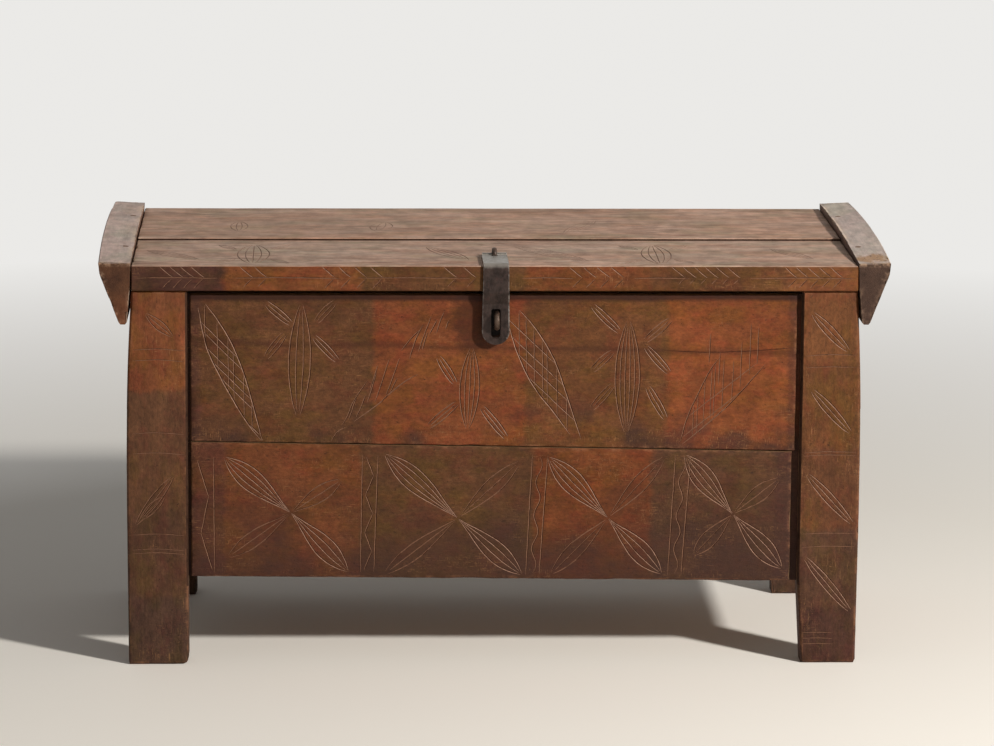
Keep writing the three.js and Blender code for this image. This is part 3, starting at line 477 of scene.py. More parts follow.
def forged_iron(name, deep, pale, rust, top=None):
    """Hand-forged iron: dark, hammered, rubbed where it works, and with a painted highlight on its top face."""
    iron = Finish(name, "z")
    broad = iron.cloud(24.0, 16.0, 1.2, 4.0, 0.6)
    iron.start(broad, 0.36, 0.62, deep, pale)
    blotch = iron.cloud(8.0, 6.0, 4.2, 5.0, 0.65)
    iron.lay(iron.grade(blotch, 0.52, 0.66, 0.0, 0.7), rust)
    rubbed = iron.times(iron.worn(), iron.grade(blotch, 0.42, 0.6, 0.1, 0.8))
    # Painted highlight: the top face takes the pale rubbed tone.
    if top:
        height = iron.sum(iron.axis("z"), iron.grade(broad, 0.3, 0.7, -0.0015, 0.0015))
        rubbed = iron.sum(rubbed, iron.grade(height, top - 0.007, top + 0.002, 0.0, 0.8))
    iron.lay(rubbed, "9a948c")
    feed(iron.tree, iron.shader.inputs["Metallic"], iron.grade(blotch, 0.4, 0.66, 0.6, 0.15))
    fine = iron.cloud(2.2, 2.2, 8.1, 3.0, 0.6)
    iron.relief(iron.sum(blotch, iron.times(fine, 0.35)), 0.0008)
    return iron.done(iron.grade(blotch, 0.34, 0.66, 0.32, 0.58), 0.35)


OLIVE = "5e3b24"
BROWN = "66402a"
DUSKY = "563527"
DARK = "3c2117"

UPPER_BANDS = [
    (-480, DARK), (-470, DUSKY), (-458, OLIVE), (-188, "743f23"), (47, "643d22"), (269, "794123"),
    (458, "5f3421"),
]
LOWER_BANDS = [
    (-480, DARK), (-471, "5d3525"), (-420, "6b3c22"), (-209, "583822"), (62, "6a391d"), (246, "543623"),
    (440, "4a2e22"),
]
EDGE_BANDS = [
    (-570, "503127"), (-420, "764325"), (-208, "5d3b22"), (47, "6c3d20"), (239, "603b21"), (453, "6e4126"),
]
# The posts' tones darken towards the foot: partly dirt and partly painted shade.
POST_LEFT_BANDS = [(0, "4e362a"), (110, "553828"), (250, "5d3d29"), (437, "774429"), (560, "714229")]
POST_RIGHT_BANDS = [(0, "482d23"), (90, "513526"), (215, "5d3923"), (345, "643d22"), (480, "6a4125")]
BACK_BANDS = [(-480, DUSKY), (-250, BROWN), (30, "6b4229"), (300, "5c3a29")]
SIDE_BANDS = [(-260, "5d3a28"), (-90, "6f4229"), (80, OLIVE)]
BACK_AND_SIDE_DIRT_AND_SHADE = (130, 300)

stained = {
    "front_plank_upper": stained_wood("stained_front_upper", "x", UPPER_BANDS, (330, 380), True),
    "front_plank_lower": stained_wood("stained_front_lower", "x", LOWER_BANDS, (150, 290)),
    "post_front_left": stained_wood("stained_post_left", "z", POST_LEFT_BANDS),
    "post_front_right": stained_wood("stained_post_right", "z", POST_RIGHT_BANDS),
    "lid_edge": stained_wood("stained_lid_edge", "x", EDGE_BANDS),
    "back": stained_wood("stained_back", "x", BACK_BANDS, BACK_AND_SIDE_DIRT_AND_SHADE),
    "side": stained_wood("stained_side", "y", SIDE_BANDS, BACK_AND_SIDE_DIRT_AND_SHADE),
    "post_rear": stained_wood("stained_post_rear", "z", POST_LEFT_BANDS),
}
LID_BLOTCH = (26.0, 36.0)
CLEAT_BLOTCH = (40.0, 14.0)
WORM_HOLES = (0.592, -0.245, 0.646)

# The lid's top tones are weathered grey, and are also made paler as a painted sheen.
weathered = {
    "front": weathered_wood("weathered_lid_front", "x", "cfb09d", "b79480", "8a6b5b", 0.8, LID_BLOTCH),
    "rear": weathered_wood("weathered_lid_rear", "x", "cfac98", "b9927b", "8b6a58", 0.8, LID_BLOTCH),
    "cleat_left": weathered_wood(
        "weathered_cleat_left", "y", "d3bcb2", "c6ada4", "9a7f75", 0.4, CLEAT_BLOTCH, 0.15, 0.4
    ),
    "cleat_right": weathered_wood(
        "weathered_cleat_right", "y", "d4c2b8", "c5b1a9", "9e877d", 0.2, CLEAT_BLOTCH, 0.25, 0.1, WORM_HOLES
    ),
    "cleat_side": weathered_wood("weathered_cleat_side", "y", "7a5a48", "64453a", "46302a", 0.3, CLEAT_BLOTCH),
}
bare = {axis: bare_wood(f"bare_wood_{axis}", axis) for axis in AXES}
peg_wood = {axis: bare_wood(f"peg_wood_{axis}", axis, "8a6849", "68492f", "3f2a1c") for axis in AXES}
cleat_end = {
    "left": end_wood("cleat_end_left", "42281b", "61402c", "6e3f26"),
    "right": end_wood("cleat_end_right", "3c2a21", "4e3a30", "432f27"),
}
scored_clean = scored_wood("scored_clean", "94725f", "6e4d3b", 0.12)
scored_faint = scored_wood("scored_faint", "825f4b", "543929", 0.06)
scored_top = scored_wood("scored_top", "8f7362", "745a4a", 0.1)
# A darker finish for groove walls that look away from the lamp: painted shade.
scored_painted_shade = scored_wood("scored_painted_shade", "47281a", "2b1710", 0.1)
crack = scored_wood("crack", "44251a", "2e1810", 0.1)
dark_seam = scored_wood("dark_seam", "3d281d", "24160f", 0.1)
strap_iron = forged_iron("strap_iron", "261c18", "3c2f2a", "37201a", top=0.6375)
staple_iron = forged_iron("staple_iron", "2a1f19", "57463a", "4a2c1c")


# Worn copies of the solids. Lengths in capitals are in millimetres, and MERGED is in metres.

ARRIS = 1.6
ARRIS_LEAST = 45.0
ARRIS_ANGLE = math.radians(30)
SEAT_CLEAR = 4.0
SHARP = math.radians(32)
FLAT = math.radians(0.4)
MERGED = 2e-6
LONG_HOLLOW = (160.0, 45.0)
RIPPLE = (50.0, 14.0)


def seats():
    """Boxes round the pegs and pins, where the wood stays as the solids have it."""
    spare = Vector((SEAT_CLEAR * MM,) * 3)
    boxes = [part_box(name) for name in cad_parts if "peg" in name or "pin" in name]
    return [(Vector(low) - spare, Vector(high) + spare) for low, high in boxes]


SEATS = seats()


def in_seat(place):
    return any(all(low[i] <= place[i] <= high[i] for i in range(3)) for low, high in SEATS)


def hewn(place, grain, depth, shift):
    """How far the surface lies back at a place, in metres: long shallow hollows and short ripples."""
    offset = Vector((shift * 3.7, shift * 1.9, shift * 5.3))
    heights = []
    for along, across in (LONG_HOLLOW, RIPPLE):
        spans = [across * MM] * 3
        spans[AXES[grain]] = along * MM
        heights.append(noise.noise(Vector([part / span for part, span in zip(place, spans)]) + offset))
    return depth * MM * min(1.0, max(0.0, 0.5 + 0.42 * heights[0] + 0.2 * heights[1]))


def rub(place, depth, shift):
    """How far an arris is worn or chipped at a place, in metres."""
    spot = Vector(place) / 0.022 + Vector((shift, shift * 2.1, shift * 0.7))
    wear = 0.5 + 0.5 * noise.noise(spot)
    chip = max(0.0, noise.noise(spot * 0.45 + Vector((9.0, 4.0, 2.0))) - 0.25) * 2.2
    return depth * MM * min(1.0, wear * 0.5 + chip)


def span_of(shape, axis):
    """The lowest and highest place of a shape along an axis."""
    places = [vert.co[axis] for vert in shape.verts]
    return min(places), max(places)


def round_foot(shape, low_side, high_side):
    """Wears the lower corners of a leg round, each side by its own radius in millimetres."""
    left, right = span_of(shape, 0)
    for vert in shape.verts:
        for edge, sign, radius in ((left, 1, low_side * MM), (right, -1, high_side * MM)):
            rise = radius - vert.co.z
            if rise > 0.0:
                limit = edge + sign * (radius - math.sqrt(radius * radius - rise * rise))
                if (vert.co.x - limit) * sign < 0.0:
                    vert.co.x = limit


def slice_up(shape, cell):
    """Cuts a shape by planes about this many millimetres apart along each axis."""
    for axis, (low, high) in enumerate([span_of(shape, axis) for axis in range(3)]):
        count = max(1, round((high - low) / (cell * MM)))
        for step in range(1, count):
            point, out = Vector(), Vector()
            point[axis] = low + (high - low) * step / count
            out[axis] = 1.0
            geometry = shape.verts[:] + shape.edges[:] + shape.faces[:]
            bmesh.ops.bisect_plane(shape, geom=geometry, dist=MERGED, plane_co=point, plane_no=out)


def eased_copy(node, is_arris, arris, cell):
    """A node's mesh with its arrises rounded and marked, sliced fine, and with a layer for wear."""
    shape = bmesh.new()
    shape.from_mesh(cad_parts[node].data)
    bmesh.ops.remove_doubles(shape, verts=shape.verts, dist=MERGED)
    bmesh.ops.dissolve_limit(shape, angle_limit=FLAT, verts=shape.verts, edges=shape.edges)
    rounded = shape.faces.layers.int.new("rounded")
    corners = [edge for edge in shape.edges if edge.is_manifold and is_arris(edge)]
    made = bmesh.ops.bevel(
        shape, geom=corners, offset=arris * MM, segments=2, profile=0.5, affect="EDGES", clamp_overlap=True
    )
    for face in made["faces"]:
        face[rounded] = 1
    slice_up(shape, cell)
    bmesh.ops.triangulate(shape, faces=[face for face in shape.faces if len(face.verts) > 4])
    shape.normal_update()
    return shape, rounded, shape.verts.layers.float.new("wear")


def smooth_up_to(shape, sharp):
    """Smooth shading that breaks at edges of this angle and more."""
    for face in shape.faces:
        face.smooth = True
    for edge in shape.edges:
        edge.smooth = edge.is_manifold and edge.calc_face_angle(0.0) < sharp


def made_piece(name, shape, rounded, sharp, finishes):
    """Makes an object of a shape and gives it its finishes."""
    smooth_up_to(shape, sharp)
    shape.faces.layers.int.remove(rounded)
    mesh = bpy.data.meshes.new(name)
    shape.to_mesh(mesh)
    shape.free()
    for finish in finishes:
        mesh.materials.append(finish)
    return linked(name, mesh)


def worn_piece(node, grain, choose, finishes, cell, depth, rubbed, shift, foot=None, frayed=0.0):
    """A wooden piece that stands for a node, hewn this deep and rubbed this much on its arrises.

    choose(normal, centre) gives each face's finish by number. Frayed pieces are rubbed beside an arris too.
    """

    def is_arris(edge):
        """Whether an edge is a long outer corner, away from pegs and pins."""
        middle = (edge.verts[0].co + edge.verts[1].co) / 2
        long = edge.calc_length() > ARRIS_LEAST * MM
        return edge.calc_face_angle_signed() > ARRIS_ANGLE and long and not in_seat(middle)

    def by_arris(vert):
        return any(face[rounded] for face in vert.link_faces)

    shape, rounded, wear = eased_copy(node, is_arris, ARRIS, cell)
    moves = []
    for vert in shape.verts:
        vert[wear] = 1.0 if by_arris(vert) else 0.0
        if in_seat(vert.co):
            continue
        back = hewn(vert.co, grain, depth, shift)
        if by_arris(vert):
            back = max(back, rub(vert.co, rubbed, shift))
        elif frayed and any(by_arris(near) for face in vert.link_faces for near in face.verts):
            vert[wear] = frayed
        moves.append((vert, vert.normal * back))
    low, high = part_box(node)
    for vert, move in moves:
        vert.co = [min(max(part, least), most) for part, least, most in zip(vert.co - move, low, high)]
    if foot:
        round_foot(shape, *foot)
    for face in shape.faces:
        face.material_index = choose(face.normal, face.calc_center_median())
    return made_piece(f"{node}_worn", shape, rounded, SHARP, finishes)


# Scored ornament: every line is a groove that a small tool cut into a face, SPREAD times as broad as drawn.

CLEAN, FAINT, CRACK, ON_TOP = 0, 1, 2, 3
LINE_FINISHES = (scored_clean, scored_faint, crack, scored_top)
SPREAD = 1.28
AWAY_FROM_LAMP = -Vector(LAMP_TOWARDS).normalized()
LEAF_STEPS = 12
CURVE_STEPS = 6
SOFT_STEPS = 6
BAND_WIDTH = 24.0
EDGE_MIDDLE = 615.0
ARROW_RISE = 18.0


class Panel:
    """A face of a node that looks out. Places on it are in millimetres across and up."""

    def __init__(self, node, out, grain, depth, shift):
        self.out = Vector(out)
        self.across = Vector((1.0, 0.0, 0.0))
        self.up = self.out.cross(self.across)
        axis = max(range(3), key=lambda i: abs(out[i]))
        low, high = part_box(node)
        self.origin = Vector()
        self.origin[axis] = (high if out[axis] > 0 else low)[axis]
        self.grain, self.depth, self.shift = grain, depth, shift
        self.lines = []

    def place(self, u, v):
        return self.origin + self.across * (u * MM) + self.up * (v * MM)

    def line(self, points, breadth=2.0, kind=CLEAN):
        self.lines.append((smooth(points), breadth * SPREAD, kind))

    def leaf(self, tip, end, width, lines=3, breadth=2.0, kind=CLEAN, full=0.8, blunt=0.03, skew=1.0):
        """A leaf between two tips, lined from side to side. Blunt ones stay open, skewed ones swell late."""
        tip, end = Vector(tip), Vector(end)
        along = end - tip
        over = Vector((-along.y, along.x)).normalized()
        for number in range(lines):
            side = -1.0 + 2.0 * number / (lines - 1)
            inset = blunt + 0.05 * (1.0 - abs(side))
            points = []
            for step in range(LEAF_STEPS + 1):
                t = inset + (1.0 - 2.0 * inset) * step / LEAF_STEPS
                spread = side * width / 2 * math.sin(math.pi * t ** skew) ** full
                points.append(tip + along * t + over * spread)
            self.line(points, breadth if abs(side) > 0.9 else breadth * 0.85, kind)

    def sprig(self, tip, end, breadth=1.7, kind=CLEAN):
        """Three lines side by side that hardly close at their ends."""
        self.leaf(tip, end, 12.0, 3, breadth, kind, 0.4, 0.08)

    def cross(self, centre, upper_left, lower_right, upper_right, lower_left):
        """Four leaves that grow out of the middle of a field."""
        self.leaf(centre, upper_left, 34.0, 5, 1.7, CLEAN, 0.9, 0.015, 1.4)
        self.leaf(centre, lower_right, 32.0, 4, 1.7, CLEAN, 0.9, 0.015, 1.4)
        for end in (upper_right, lower_left):
            self.leaf(centre, end, 24.0, 3, 1.3, FAINT, 0.9, 0.04, 1.3)

    def hatched_leaf(self, left, right, uprights, slants, breadth=2.0, kind=CLEAN):
        """A leaf between two curves, filled with near-vertical lines and slanting ones."""
        left, right = smooth(left), smooth(right)
        outline = left + right[::-1]
        self.line(left, breadth, kind)
        self.line(right, breadth, kind)
        for group, shown in ((uprights, FAINT), (slants, kind)):
            for start, end in group:
                inside = clip(start, end, outline)
                if inside:
                    self.line(inside, breadth * 0.75, shown)

    def zigzag(self, top, bottom, width, turns, breadth=1.6, soft=False):
        """A faint line that goes from side to side between two ends, in corners or in soft bends."""
        top, bottom = Vector(top), Vector(bottom)
        along = bottom - top
        over = Vector((-along.y, along.x)).normalized() * (width / 2)
        if soft:
            steps = turns * SOFT_STEPS
            points = [
                top + along * (i / steps) + over * (0.55 * math.sin(math.pi * turns * i / steps))
                for i in range(steps + 1)
            ]
            self.line(points, breadth, FAINT)
            return
        corners = [top + along * (i / turns) + over * (0.8 if i % 2 else -0.8) for i in range(turns + 1)]
        for first, second in zip(corners, corners[1:]):
            self.line([first, second], breadth, FAINT)

    def band(self, top, foot, turns, soft):
        """Two lines side by side with a zigzag between them."""
        (top_u, top_v), (foot_u, foot_v), half = top, foot, BAND_WIDTH / 2
        self.line([top, foot], 1.6, FAINT)
        self.line([(top_u + BAND_WIDTH, top_v), (foot_u + BAND_WIDTH - 3, foot_v)], 1.6, FAINT)
        middle_top, middle_foot = (top_u + half, top_v - 3), (foot_u + half - 1, foot_v + 3)
        self.zigzag(middle_top, middle_foot, BAND_WIDTH * 0.62, turns, 1.5, soft)

    def arrowheads(self, start, end, count, foot):
        """Arrowheads that point to the right, with clean upper arms and faint lower ones."""
        middle, top = EDGE_MIDDLE, ARROW_RISE
        for number in range(count):
            u = start + (end - start) * number / (count - 1)
            sway = noise.noise(Vector((u * 0.37, middle, 1.5))) * 2.0
            upper = [(u - top * 1.05 + sway, middle + top), (u - 6, middle + 7), (u + 2, middle + 1)]
            self.line(upper, 1.3, CLEAN)
            bend = (u - foot * 0.45, middle - foot * 0.55)
            self.line([(u - foot * 0.9, middle - foot + sway * 0.4), bend, (u, middle - 1.5)], 1.2, FAINT)


def smooth(points):
    """A curve through points, as a finer line of points."""
    points = [Vector(p) for p in points]
    if len(points) < 3:
        return points
    padded = [points[0] * 2 - points[1], *points, points[-1] * 2 - points[-2]]
    curve = []
    for a, b, c, d in zip(padded, padded[1:], padded[2:], padded[3:]):
        square, cube = 2 * a - 5 * b + 4 * c - d, 3 * b - a - 3 * c + d
        for step in range(CURVE_STEPS):
            t = step / CURVE_STEPS
            curve.append(0.5 * (2 * b + (c - a) * t + square * t ** 2 + cube * t ** 3))
    curve.append(points[-1])
    return curve


def within(point, outline):
    """Whether a point lies inside a closed outline."""
    inside = False
    for a, b in zip(outline, outline[1:] + outline[:1]):
        if (a.y > point.y) != (b.y > point.y):
            if point.x < (b.x - a.x) * (point.y - a.y) / (b.y - a.y) + a.x:
                inside = not inside
    return inside


def clip(start, end, outline):
    """The two ends of a straight line's part inside an outline, or None where it's too short."""
    start, end = Vector(start), Vector(end)
    held = [start.lerp(end, i / 80) for i in range(81)]
    held = [point for point in held if within(point, outline)]
    return [held[0], held[-1]] if len(held) > 4 else None


def cells_of(points):
    """The 3 mm squares that a line passes, with their neighbours."""
    cells = set()
    for a, b in zip(points, points[1:]):
        steps = max(1, int((b - a).length / 1.5))
        for i in range(steps + 1):
            spot = a.lerp(b, i / steps)
            u, v = int(spot.x // 3), int(spot.y // 3)
            cells.update((u + i, v + j) for i in (-1, 0, 1) for j in (-1, 0, 1))
    return cells


def layers_of(lines):
    """Sorts lines into layers in which none touches another."""
    layers = []
    for line in lines:
        cells = cells_of(line[0])
        for taken, held in layers:
            if not cells & taken:
                break
        else:
            taken, held = set(), []
            layers.append((taken, held))
        taken |= cells
        held.append(line)
    return [held for _, held in layers]


def groove_tree():
    """Sweeps a V-shaped cutter along every line, with tapering ends and the wobble of a hand-led tool."""
    tree = bpy.data.node_groups.new("scored_lines", "GeometryNodeTree")
    face = tree.interface
    face.new_socket("Lines", in_out="INPUT", socket_type="NodeSocketGeometry")
    for name, value in (("Spacing", 0.0035), ("Wobble", 0.0006), ("Tip", 0.3)):
        face.new_socket(name, in_out="INPUT", socket_type="NodeSocketFloat").default_value = value
    face.new_socket("Finish", in_out="INPUT", socket_type="NodeSocketMaterial")
    face.new_socket("Cutter", in_out="OUTPUT", socket_type="NodeSocketGeometry")
    given = tree.nodes.new("NodeGroupInput").outputs

    def number(operation, first, second=0.0):
        return add(tree, "ShaderNodeMath", {0: first, 1: second}, operation=operation)

    def vector(operation, first, second):
        return add(tree, "ShaderNodeVectorMath", {0: first, 1: second}, operation=operation)

    curve = add(tree, "GeometryNodeMeshToCurve", {"Mesh": given["Lines"]})
    curve = add(tree, "GeometryNodeResampleCurve", {"Curve": curve, "Length": given["Spacing"]}, mode="LENGTH")
    shake = add(tree, "ShaderNodeTexNoise", {"Scale": 55.0, "Detail": 1.0}, "Color", noise_dimensions="3D")
    sway = vector("MULTIPLY", vector("SUBTRACT", shake, (0.5, 0.5, 0.5)), (1.0, 1.0, 0.15))
    feeds = {0: sway, "Scale": number("MULTIPLY", given["Wobble"], 2.0)}
    sway = add(tree, "ShaderNodeVectorMath", feeds, operation="SCALE")
    curve = add(tree, "GeometryNodeSetPosition", {"Geometry": curve, "Offset": sway})
    curve = add(tree, "GeometryNodeSetCurveNormal", {"Curve": curve}, mode="Z_UP")

    along = add(tree, "GeometryNodeSplineParameter", out="Factor")
    from_middle = number("ABSOLUTE", number("SUBTRACT", number("MULTIPLY", along, 2.0), 1.0))
    fall = number("MULTIPLY", number("POWER", from_middle, 5.0), number("SUBTRACT", 1.0, given["Tip"]))
    breadth = add(tree, "GeometryNodeInputNamedAttribute", {"Name": "breadth"}, data_type="FLOAT")
    scale = number("MULTIPLY", number("MULTIPLY", breadth, 0.5), number("SUBTRACT", 1.0, fall))
    profile = add(tree, "GeometryNodeCurvePrimitiveCircle", {"Resolution": 4, "Radius": 1.0})
    feeds = {"Curve": curve, "Profile Curve": profile, "Scale": scale, "Fill Caps": True}
    swept = add(tree, "GeometryNodeCurveToMesh", feeds)
    real = add(tree, "GeometryNodeRealizeInstances", {"Geometry": swept})
    dressed = add(tree, "GeometryNodeSetMaterial", {"Geometry": real, "Material": given["Finish"]})
    feed(tree, tree.nodes.new("NodeGroupOutput").inputs["Cutter"], dressed)
    return tree


GROOVES = groove_tree()


def evaluated_mesh(thing):
    """The mesh that an object's modifiers make."""
    return bpy.data.meshes.new_from_object(thing.evaluated_get(bpy.context.evaluated_depsgraph_get()))


def tree_result(mesh, tree, **values):
    """Runs a tree on a mesh and gives its result as a plain mesh."""
    holder = linked("tool", mesh)
    modifier = holder.modifiers.new("tool", "NODES")
    modifier.node_group = tree
    for item in tree.interface.items_tree:
        if item.in_out == "INPUT" and item.name in values:
            modifier[item.identifier] = values[item.name]
    made = evaluated_mesh(holder)
    bpy.data.objects.remove(holder)
    return made


def cutter(panel, lines, finish):
    """One layer of lines as a solid cutter, laid on its panel."""
    points, edges, breadths = [], [], []
    for line, breadth, _ in lines:
        first = len(points)
        for spot in line:
            back = hewn(panel.place(*spot), panel.grain, panel.depth, panel.shift)
            points.append((spot.x * MM, spot.y * MM, -back))
            breadths.append(breadth * MM)
        edges += [(i, i + 1) for i in range(first, len(points) - 1)]
    mesh = bpy.data.meshes.new("lines")
    mesh.from_pydata(points, edges, [])
    mesh.attributes.new("breadth", "FLOAT", "POINT").data.foreach_set("value", breadths)
    made = tree_result(mesh, GROOVES, Finish=finish)
    made.transform(seat_of(panel.across, panel.up, panel.out, panel.origin))
    return bpy.data.objects.new("cutter", made)


def cut(piece, tools):
    """Takes the tools' shapes out of a piece."""
    tray = bpy.data.collections.new("tools")
    bpy.context.scene.collection.children.link(tray)
    for tool in tools:
        tray.objects.link(tool)
    modifier = piece.modifiers.new("cut", "BOOLEAN")
    modifier.solver = "MANIFOLD"
    modifier.operation = "DIFFERENCE"
    modifier.operand_type = "COLLECTION"
    modifier.collection = tray
    modifier.material_mode = "TRANSFER"
    made = evaluated_mesh(piece)
    piece.modifiers.remove(modifier)
    piece.data = made
    for tool in tools:
        bpy.data.objects.remove(tool)
    bpy.data.collections.remove(tray)


def score(piece, panels):
    """Cuts the panels' ornament into a piece. Groove walls that look away from the window take a darker finish
    as painted shade.
    """
    tools = []
    for panel in panels:
        for kind, finish in enumerate(LINE_FINISHES):
            chosen = [line for line in panel.lines if line[2] == kind]
            tools += [cutter(panel, layer, finish) for layer in layers_of(chosen)]
    cut(piece, tools)
    finishes = list(piece.data.materials)
    lit = {finishes.index(finish) for finish in LINE_FINISHES[:2] if finish in finishes}
    piece.data.materials.append(scored_painted_shade)
    shape = bmesh.new()
    shape.from_mesh(piece.data)
    for face in shape.faces:
        # Painted shade: clean and faint groove walls that look away from the lamp take the dark finish.
        if face.material_index in lit and face.normal.dot(AWAY_FROM_LAMP) > -0.35:
            face.material_index = len(finishes)
    smooth_up_to(shape, SHARP)
    shape.to_mesh(piece.data)
    shape.free()


def settle(piece, body, node):
    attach(piece, body)
    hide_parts(node)


def facing(direction):
    """Picks finish 0 where a face looks that way and finish 1 elsewhere."""
    return lambda normal, centre: 0 if normal.dot(Vector(direction)) > 0.5 else 1


# Front planks.

FRONT, TOP = (0, -1, 0), (0, 0, 1)
CARVED_DEPTH = 0.35

# The upper plank's second leaf has no outline. It is worn down to loose strokes that lean to the right.

SLANTING_STROKES = (
    ((-255, 354), (-245, 369), (-232, 378)),
    ((-238, 379), (-229, 395), (-219, 419), (-198, 451)),
    ((-227, 389), (-221, 406), (-215, 425)),
    ((-216, 391), (-207, 411), (-201, 428)),
    ((-198, 417), (-191, 438), (-184, 463)),
    ((-194, 436), (-188, 455), (-182, 475)),
    ((-186, 417), (-176, 447), (-166, 479), (-164, 486)),
    ((-169, 428), (-160, 452), (-148, 486)),
    ((-163, 431), (-152, 455)),
    ((-219, 386), (-182, 413), (-167, 427), (-142, 448), (-120, 461)),
    ((-133, 485), (-126, 507), (-120, 526)),
    ((-128, 501), (-120, 523), (-112, 539)),
    ((-119, 496), (-110, 523), (-99, 553)),
    ((-113, 500), (-105, 527)),
    ((-102, 524), (-90, 547)),
    ((-91, 526), (-85, 545), (-79, 560)),
    ((-146, 498), (-128, 520), (-114, 533)),
    ((-77, 532), (-72, 546)),
)


def score_upper_plank(panel):
    """Hatched leaves, spindles with small leaves, and faint ones between them."""
    panel.hatched_leaf(
        [(-460, 566), (-447, 504), (-425, 455), (-401, 411), (-383, 382), (-362, 355)],
        [(-449, 572), (-430, 547), (-408, 509), (-390, 463), (-377, 418), (-361, 355)],
        [((u, 570), (u + 4, 350)) for u in (-450, -431, -415, -407, -392, -380)],
        [((-465, v), (-350, v - 115)) for v in (553, 541, 521, 508, 495, 465)],
    )
    panel.leaf((-300, 575), (-306, 390), 34, 4, 1.8, FAINT)
    panel.sprig((-358, 576), (-313, 538))
    panel.sprig((-246, 578), (-280, 541), 1.4, FAINT)
    panel.sprig((-284, 524), (-241, 479))
    panel.sprig((-323, 529), (-358, 484), 1.4, FAINT)
    for stroke in SLANTING_STROKES:
        panel.line(stroke, 1.35, FAINT)
    panel.leaf((-36, 506), (-42, 371), 30, 5, 1.6, FAINT)
    panel.sprig((-90, 492), (-59, 443))
    panel.sprig((-54, 419), (-106, 375), 1.5, FAINT)
    panel.sprig((-23, 413), (22, 356))
    panel.hatched_leaf(
        [(20, 545), (32, 503), (50, 461), (69, 430), (91, 403), (118, 366)],
        [(38, 562), (59, 539), (81, 506), (97, 474), (113, 427), (136, 357)],
        [((u, 575), (u + 4, 350)) for u in (37, 48, 60, 73, 80, 95, 110)],
        [((10, v), (150, v - 133)) for v in (558, 536, 518, 497, 470)],
        1.9,
    )
    panel.leaf((208, 550), (206, 364), 38, 6, 1.7, FAINT)
    panel.sprig((148, 573), (197, 525))
    panel.sprig((277, 551), (231, 511), 1.4, FAINT)
    panel.sprig((232, 508), (275, 460))
    panel.sprig((236, 446), (270, 386))
    panel.sprig((186, 500), (149, 464), 1.4, FAINT)
    panel.sprig((187, 447), (149, 403), 1.4, FAINT)
    panel.hatched_leaf(
        [(350, 487), (336, 468), (318, 431), (302, 395), (290, 352)],
        [(422, 477), (403, 455), (370, 417), (332, 382), (294, 350)],
        [((u, 500), (u - 5, 350)) for u in (314, 320, 330, 340, 345, 358, 373)],
        [((440, v), (280, v - 128)) for v in (504, 478)],
        1.4, FAINT,
    )
    for u, top, foot in ((336, 526, 477), (351, 496, 444), (385, 512, 440), (399, 542, 460), (411, 537, 477)):
        panel.line([(u, top), (u - 2, foot)], 1.2, FAINT)
    panel.line([(262, 499), (330, 496), (400, 498), (466, 503)], 0.9, CRACK)


def score_lower_plank(panel):
    """Four crosses of leaves between upright bands."""
    panel.cross((-317, 241), (-421, 330), (-227, 146), (-236, 295), (-417, 169))
    panel.cross((-56, 232), (-171, 335), (45, 141), (43, 325), (-173, 141))
    panel.cross((179, 232), (84, 330), (265, 142), (268, 331), (89, 141))
    panel.cross((375, 238), (298, 333), (454, 150), (449, 297), (313, 171))
    panel.zigzag((-455, 325), (-447, 150), 18, 3)
    panel.band((-205, 333), (-208, 146), 6, False)
    panel.band((60, 333), (51, 141), 7, True)
    panel.band((284, 333), (274, 140), 7, True)
    panel.line([(-437, 330), (-436, 146)], 1.5, FAINT)


for node, draw, shift in (
    ("front_plank_upper", score_upper_plank, 0.3),
    ("front_plank_lower", score_lower_plank, 1.1),
):
    piece = worn_piece(node, "x", facing(FRONT), [stained[node], bare["x"]], 6.0, CARVED_DEPTH, 1.8, shift)
    panel = Panel(node, FRONT, "x", CARVED_DEPTH, shift)
    draw(panel)
    score(piece, [panel])
    settle(piece, "carcase", node)


# Posts, in metres: how high the stained leg goes, how far in from the post's outer face the front or back
# plank steps back, and how far in past the side plank's outer face the stain still runs.

LEG_TOP = 0.128
PLANK_STEP = 0.014
SIDE_STRIP = 0.004


def score_right_post(panel):
    """Small leaves that lean, with short level lines between them and at the foot."""
    for tip, end in (
        ((491, 562), (553, 497)),
        ((492, 441), (559, 367)),
        ((486, 308), (565, 222)),
        ((486, 174), (564, 81)),
    ):
        panel.leaf(tip, end, 15, 3, 1.7, CLEAN, 0.6, 0.05)
    for v in (492, 473, 338, 333, 208, 187):
        panel.line([(484, v), (520, v + 2), (566, v + 1)], 1.0, FAINT)
    for v in (49, 40, 31):
        panel.line([(485, v), (508, v + 1), (535, v)], 0.8, FAINT)


def score_left_post(panel):
    """The same, nearly worn away."""
    panel.leaf((-542, 559), (-498, 521), 14, 3, 1.4, FAINT)
    panel.leaf((-498, 304), (-560, 222), 15, 3, 1.5, FAINT)
    panel.leaf((-552, 231), (-512, 271), 14, 3, 1.4, FAINT)
    for v in (501, 484, 369, 337, 208, 184, 178):
        panel.line([(-563, v), (-525, v + 2), (-483, v - 1)], 1.0, FAINT)


def post_faces(side, end, outer_y, plank_x):
    """Stain outside and all round the leg, bare wood towards the inside, and dark where a plank steps back."""

    def choose(normal, centre):
        towards_middle = normal.y * end < -0.5
        beside_plank = towards_middle and (centre.x - plank_x) * side > -SIDE_STRIP
        inside = normal.x * side < -0.5 or towards_middle
        if not inside or beside_plank or centre.z < LEG_TOP:
            return 0
        return 2 if abs(centre.y - outer_y) < PLANK_STEP else 1

    return choose


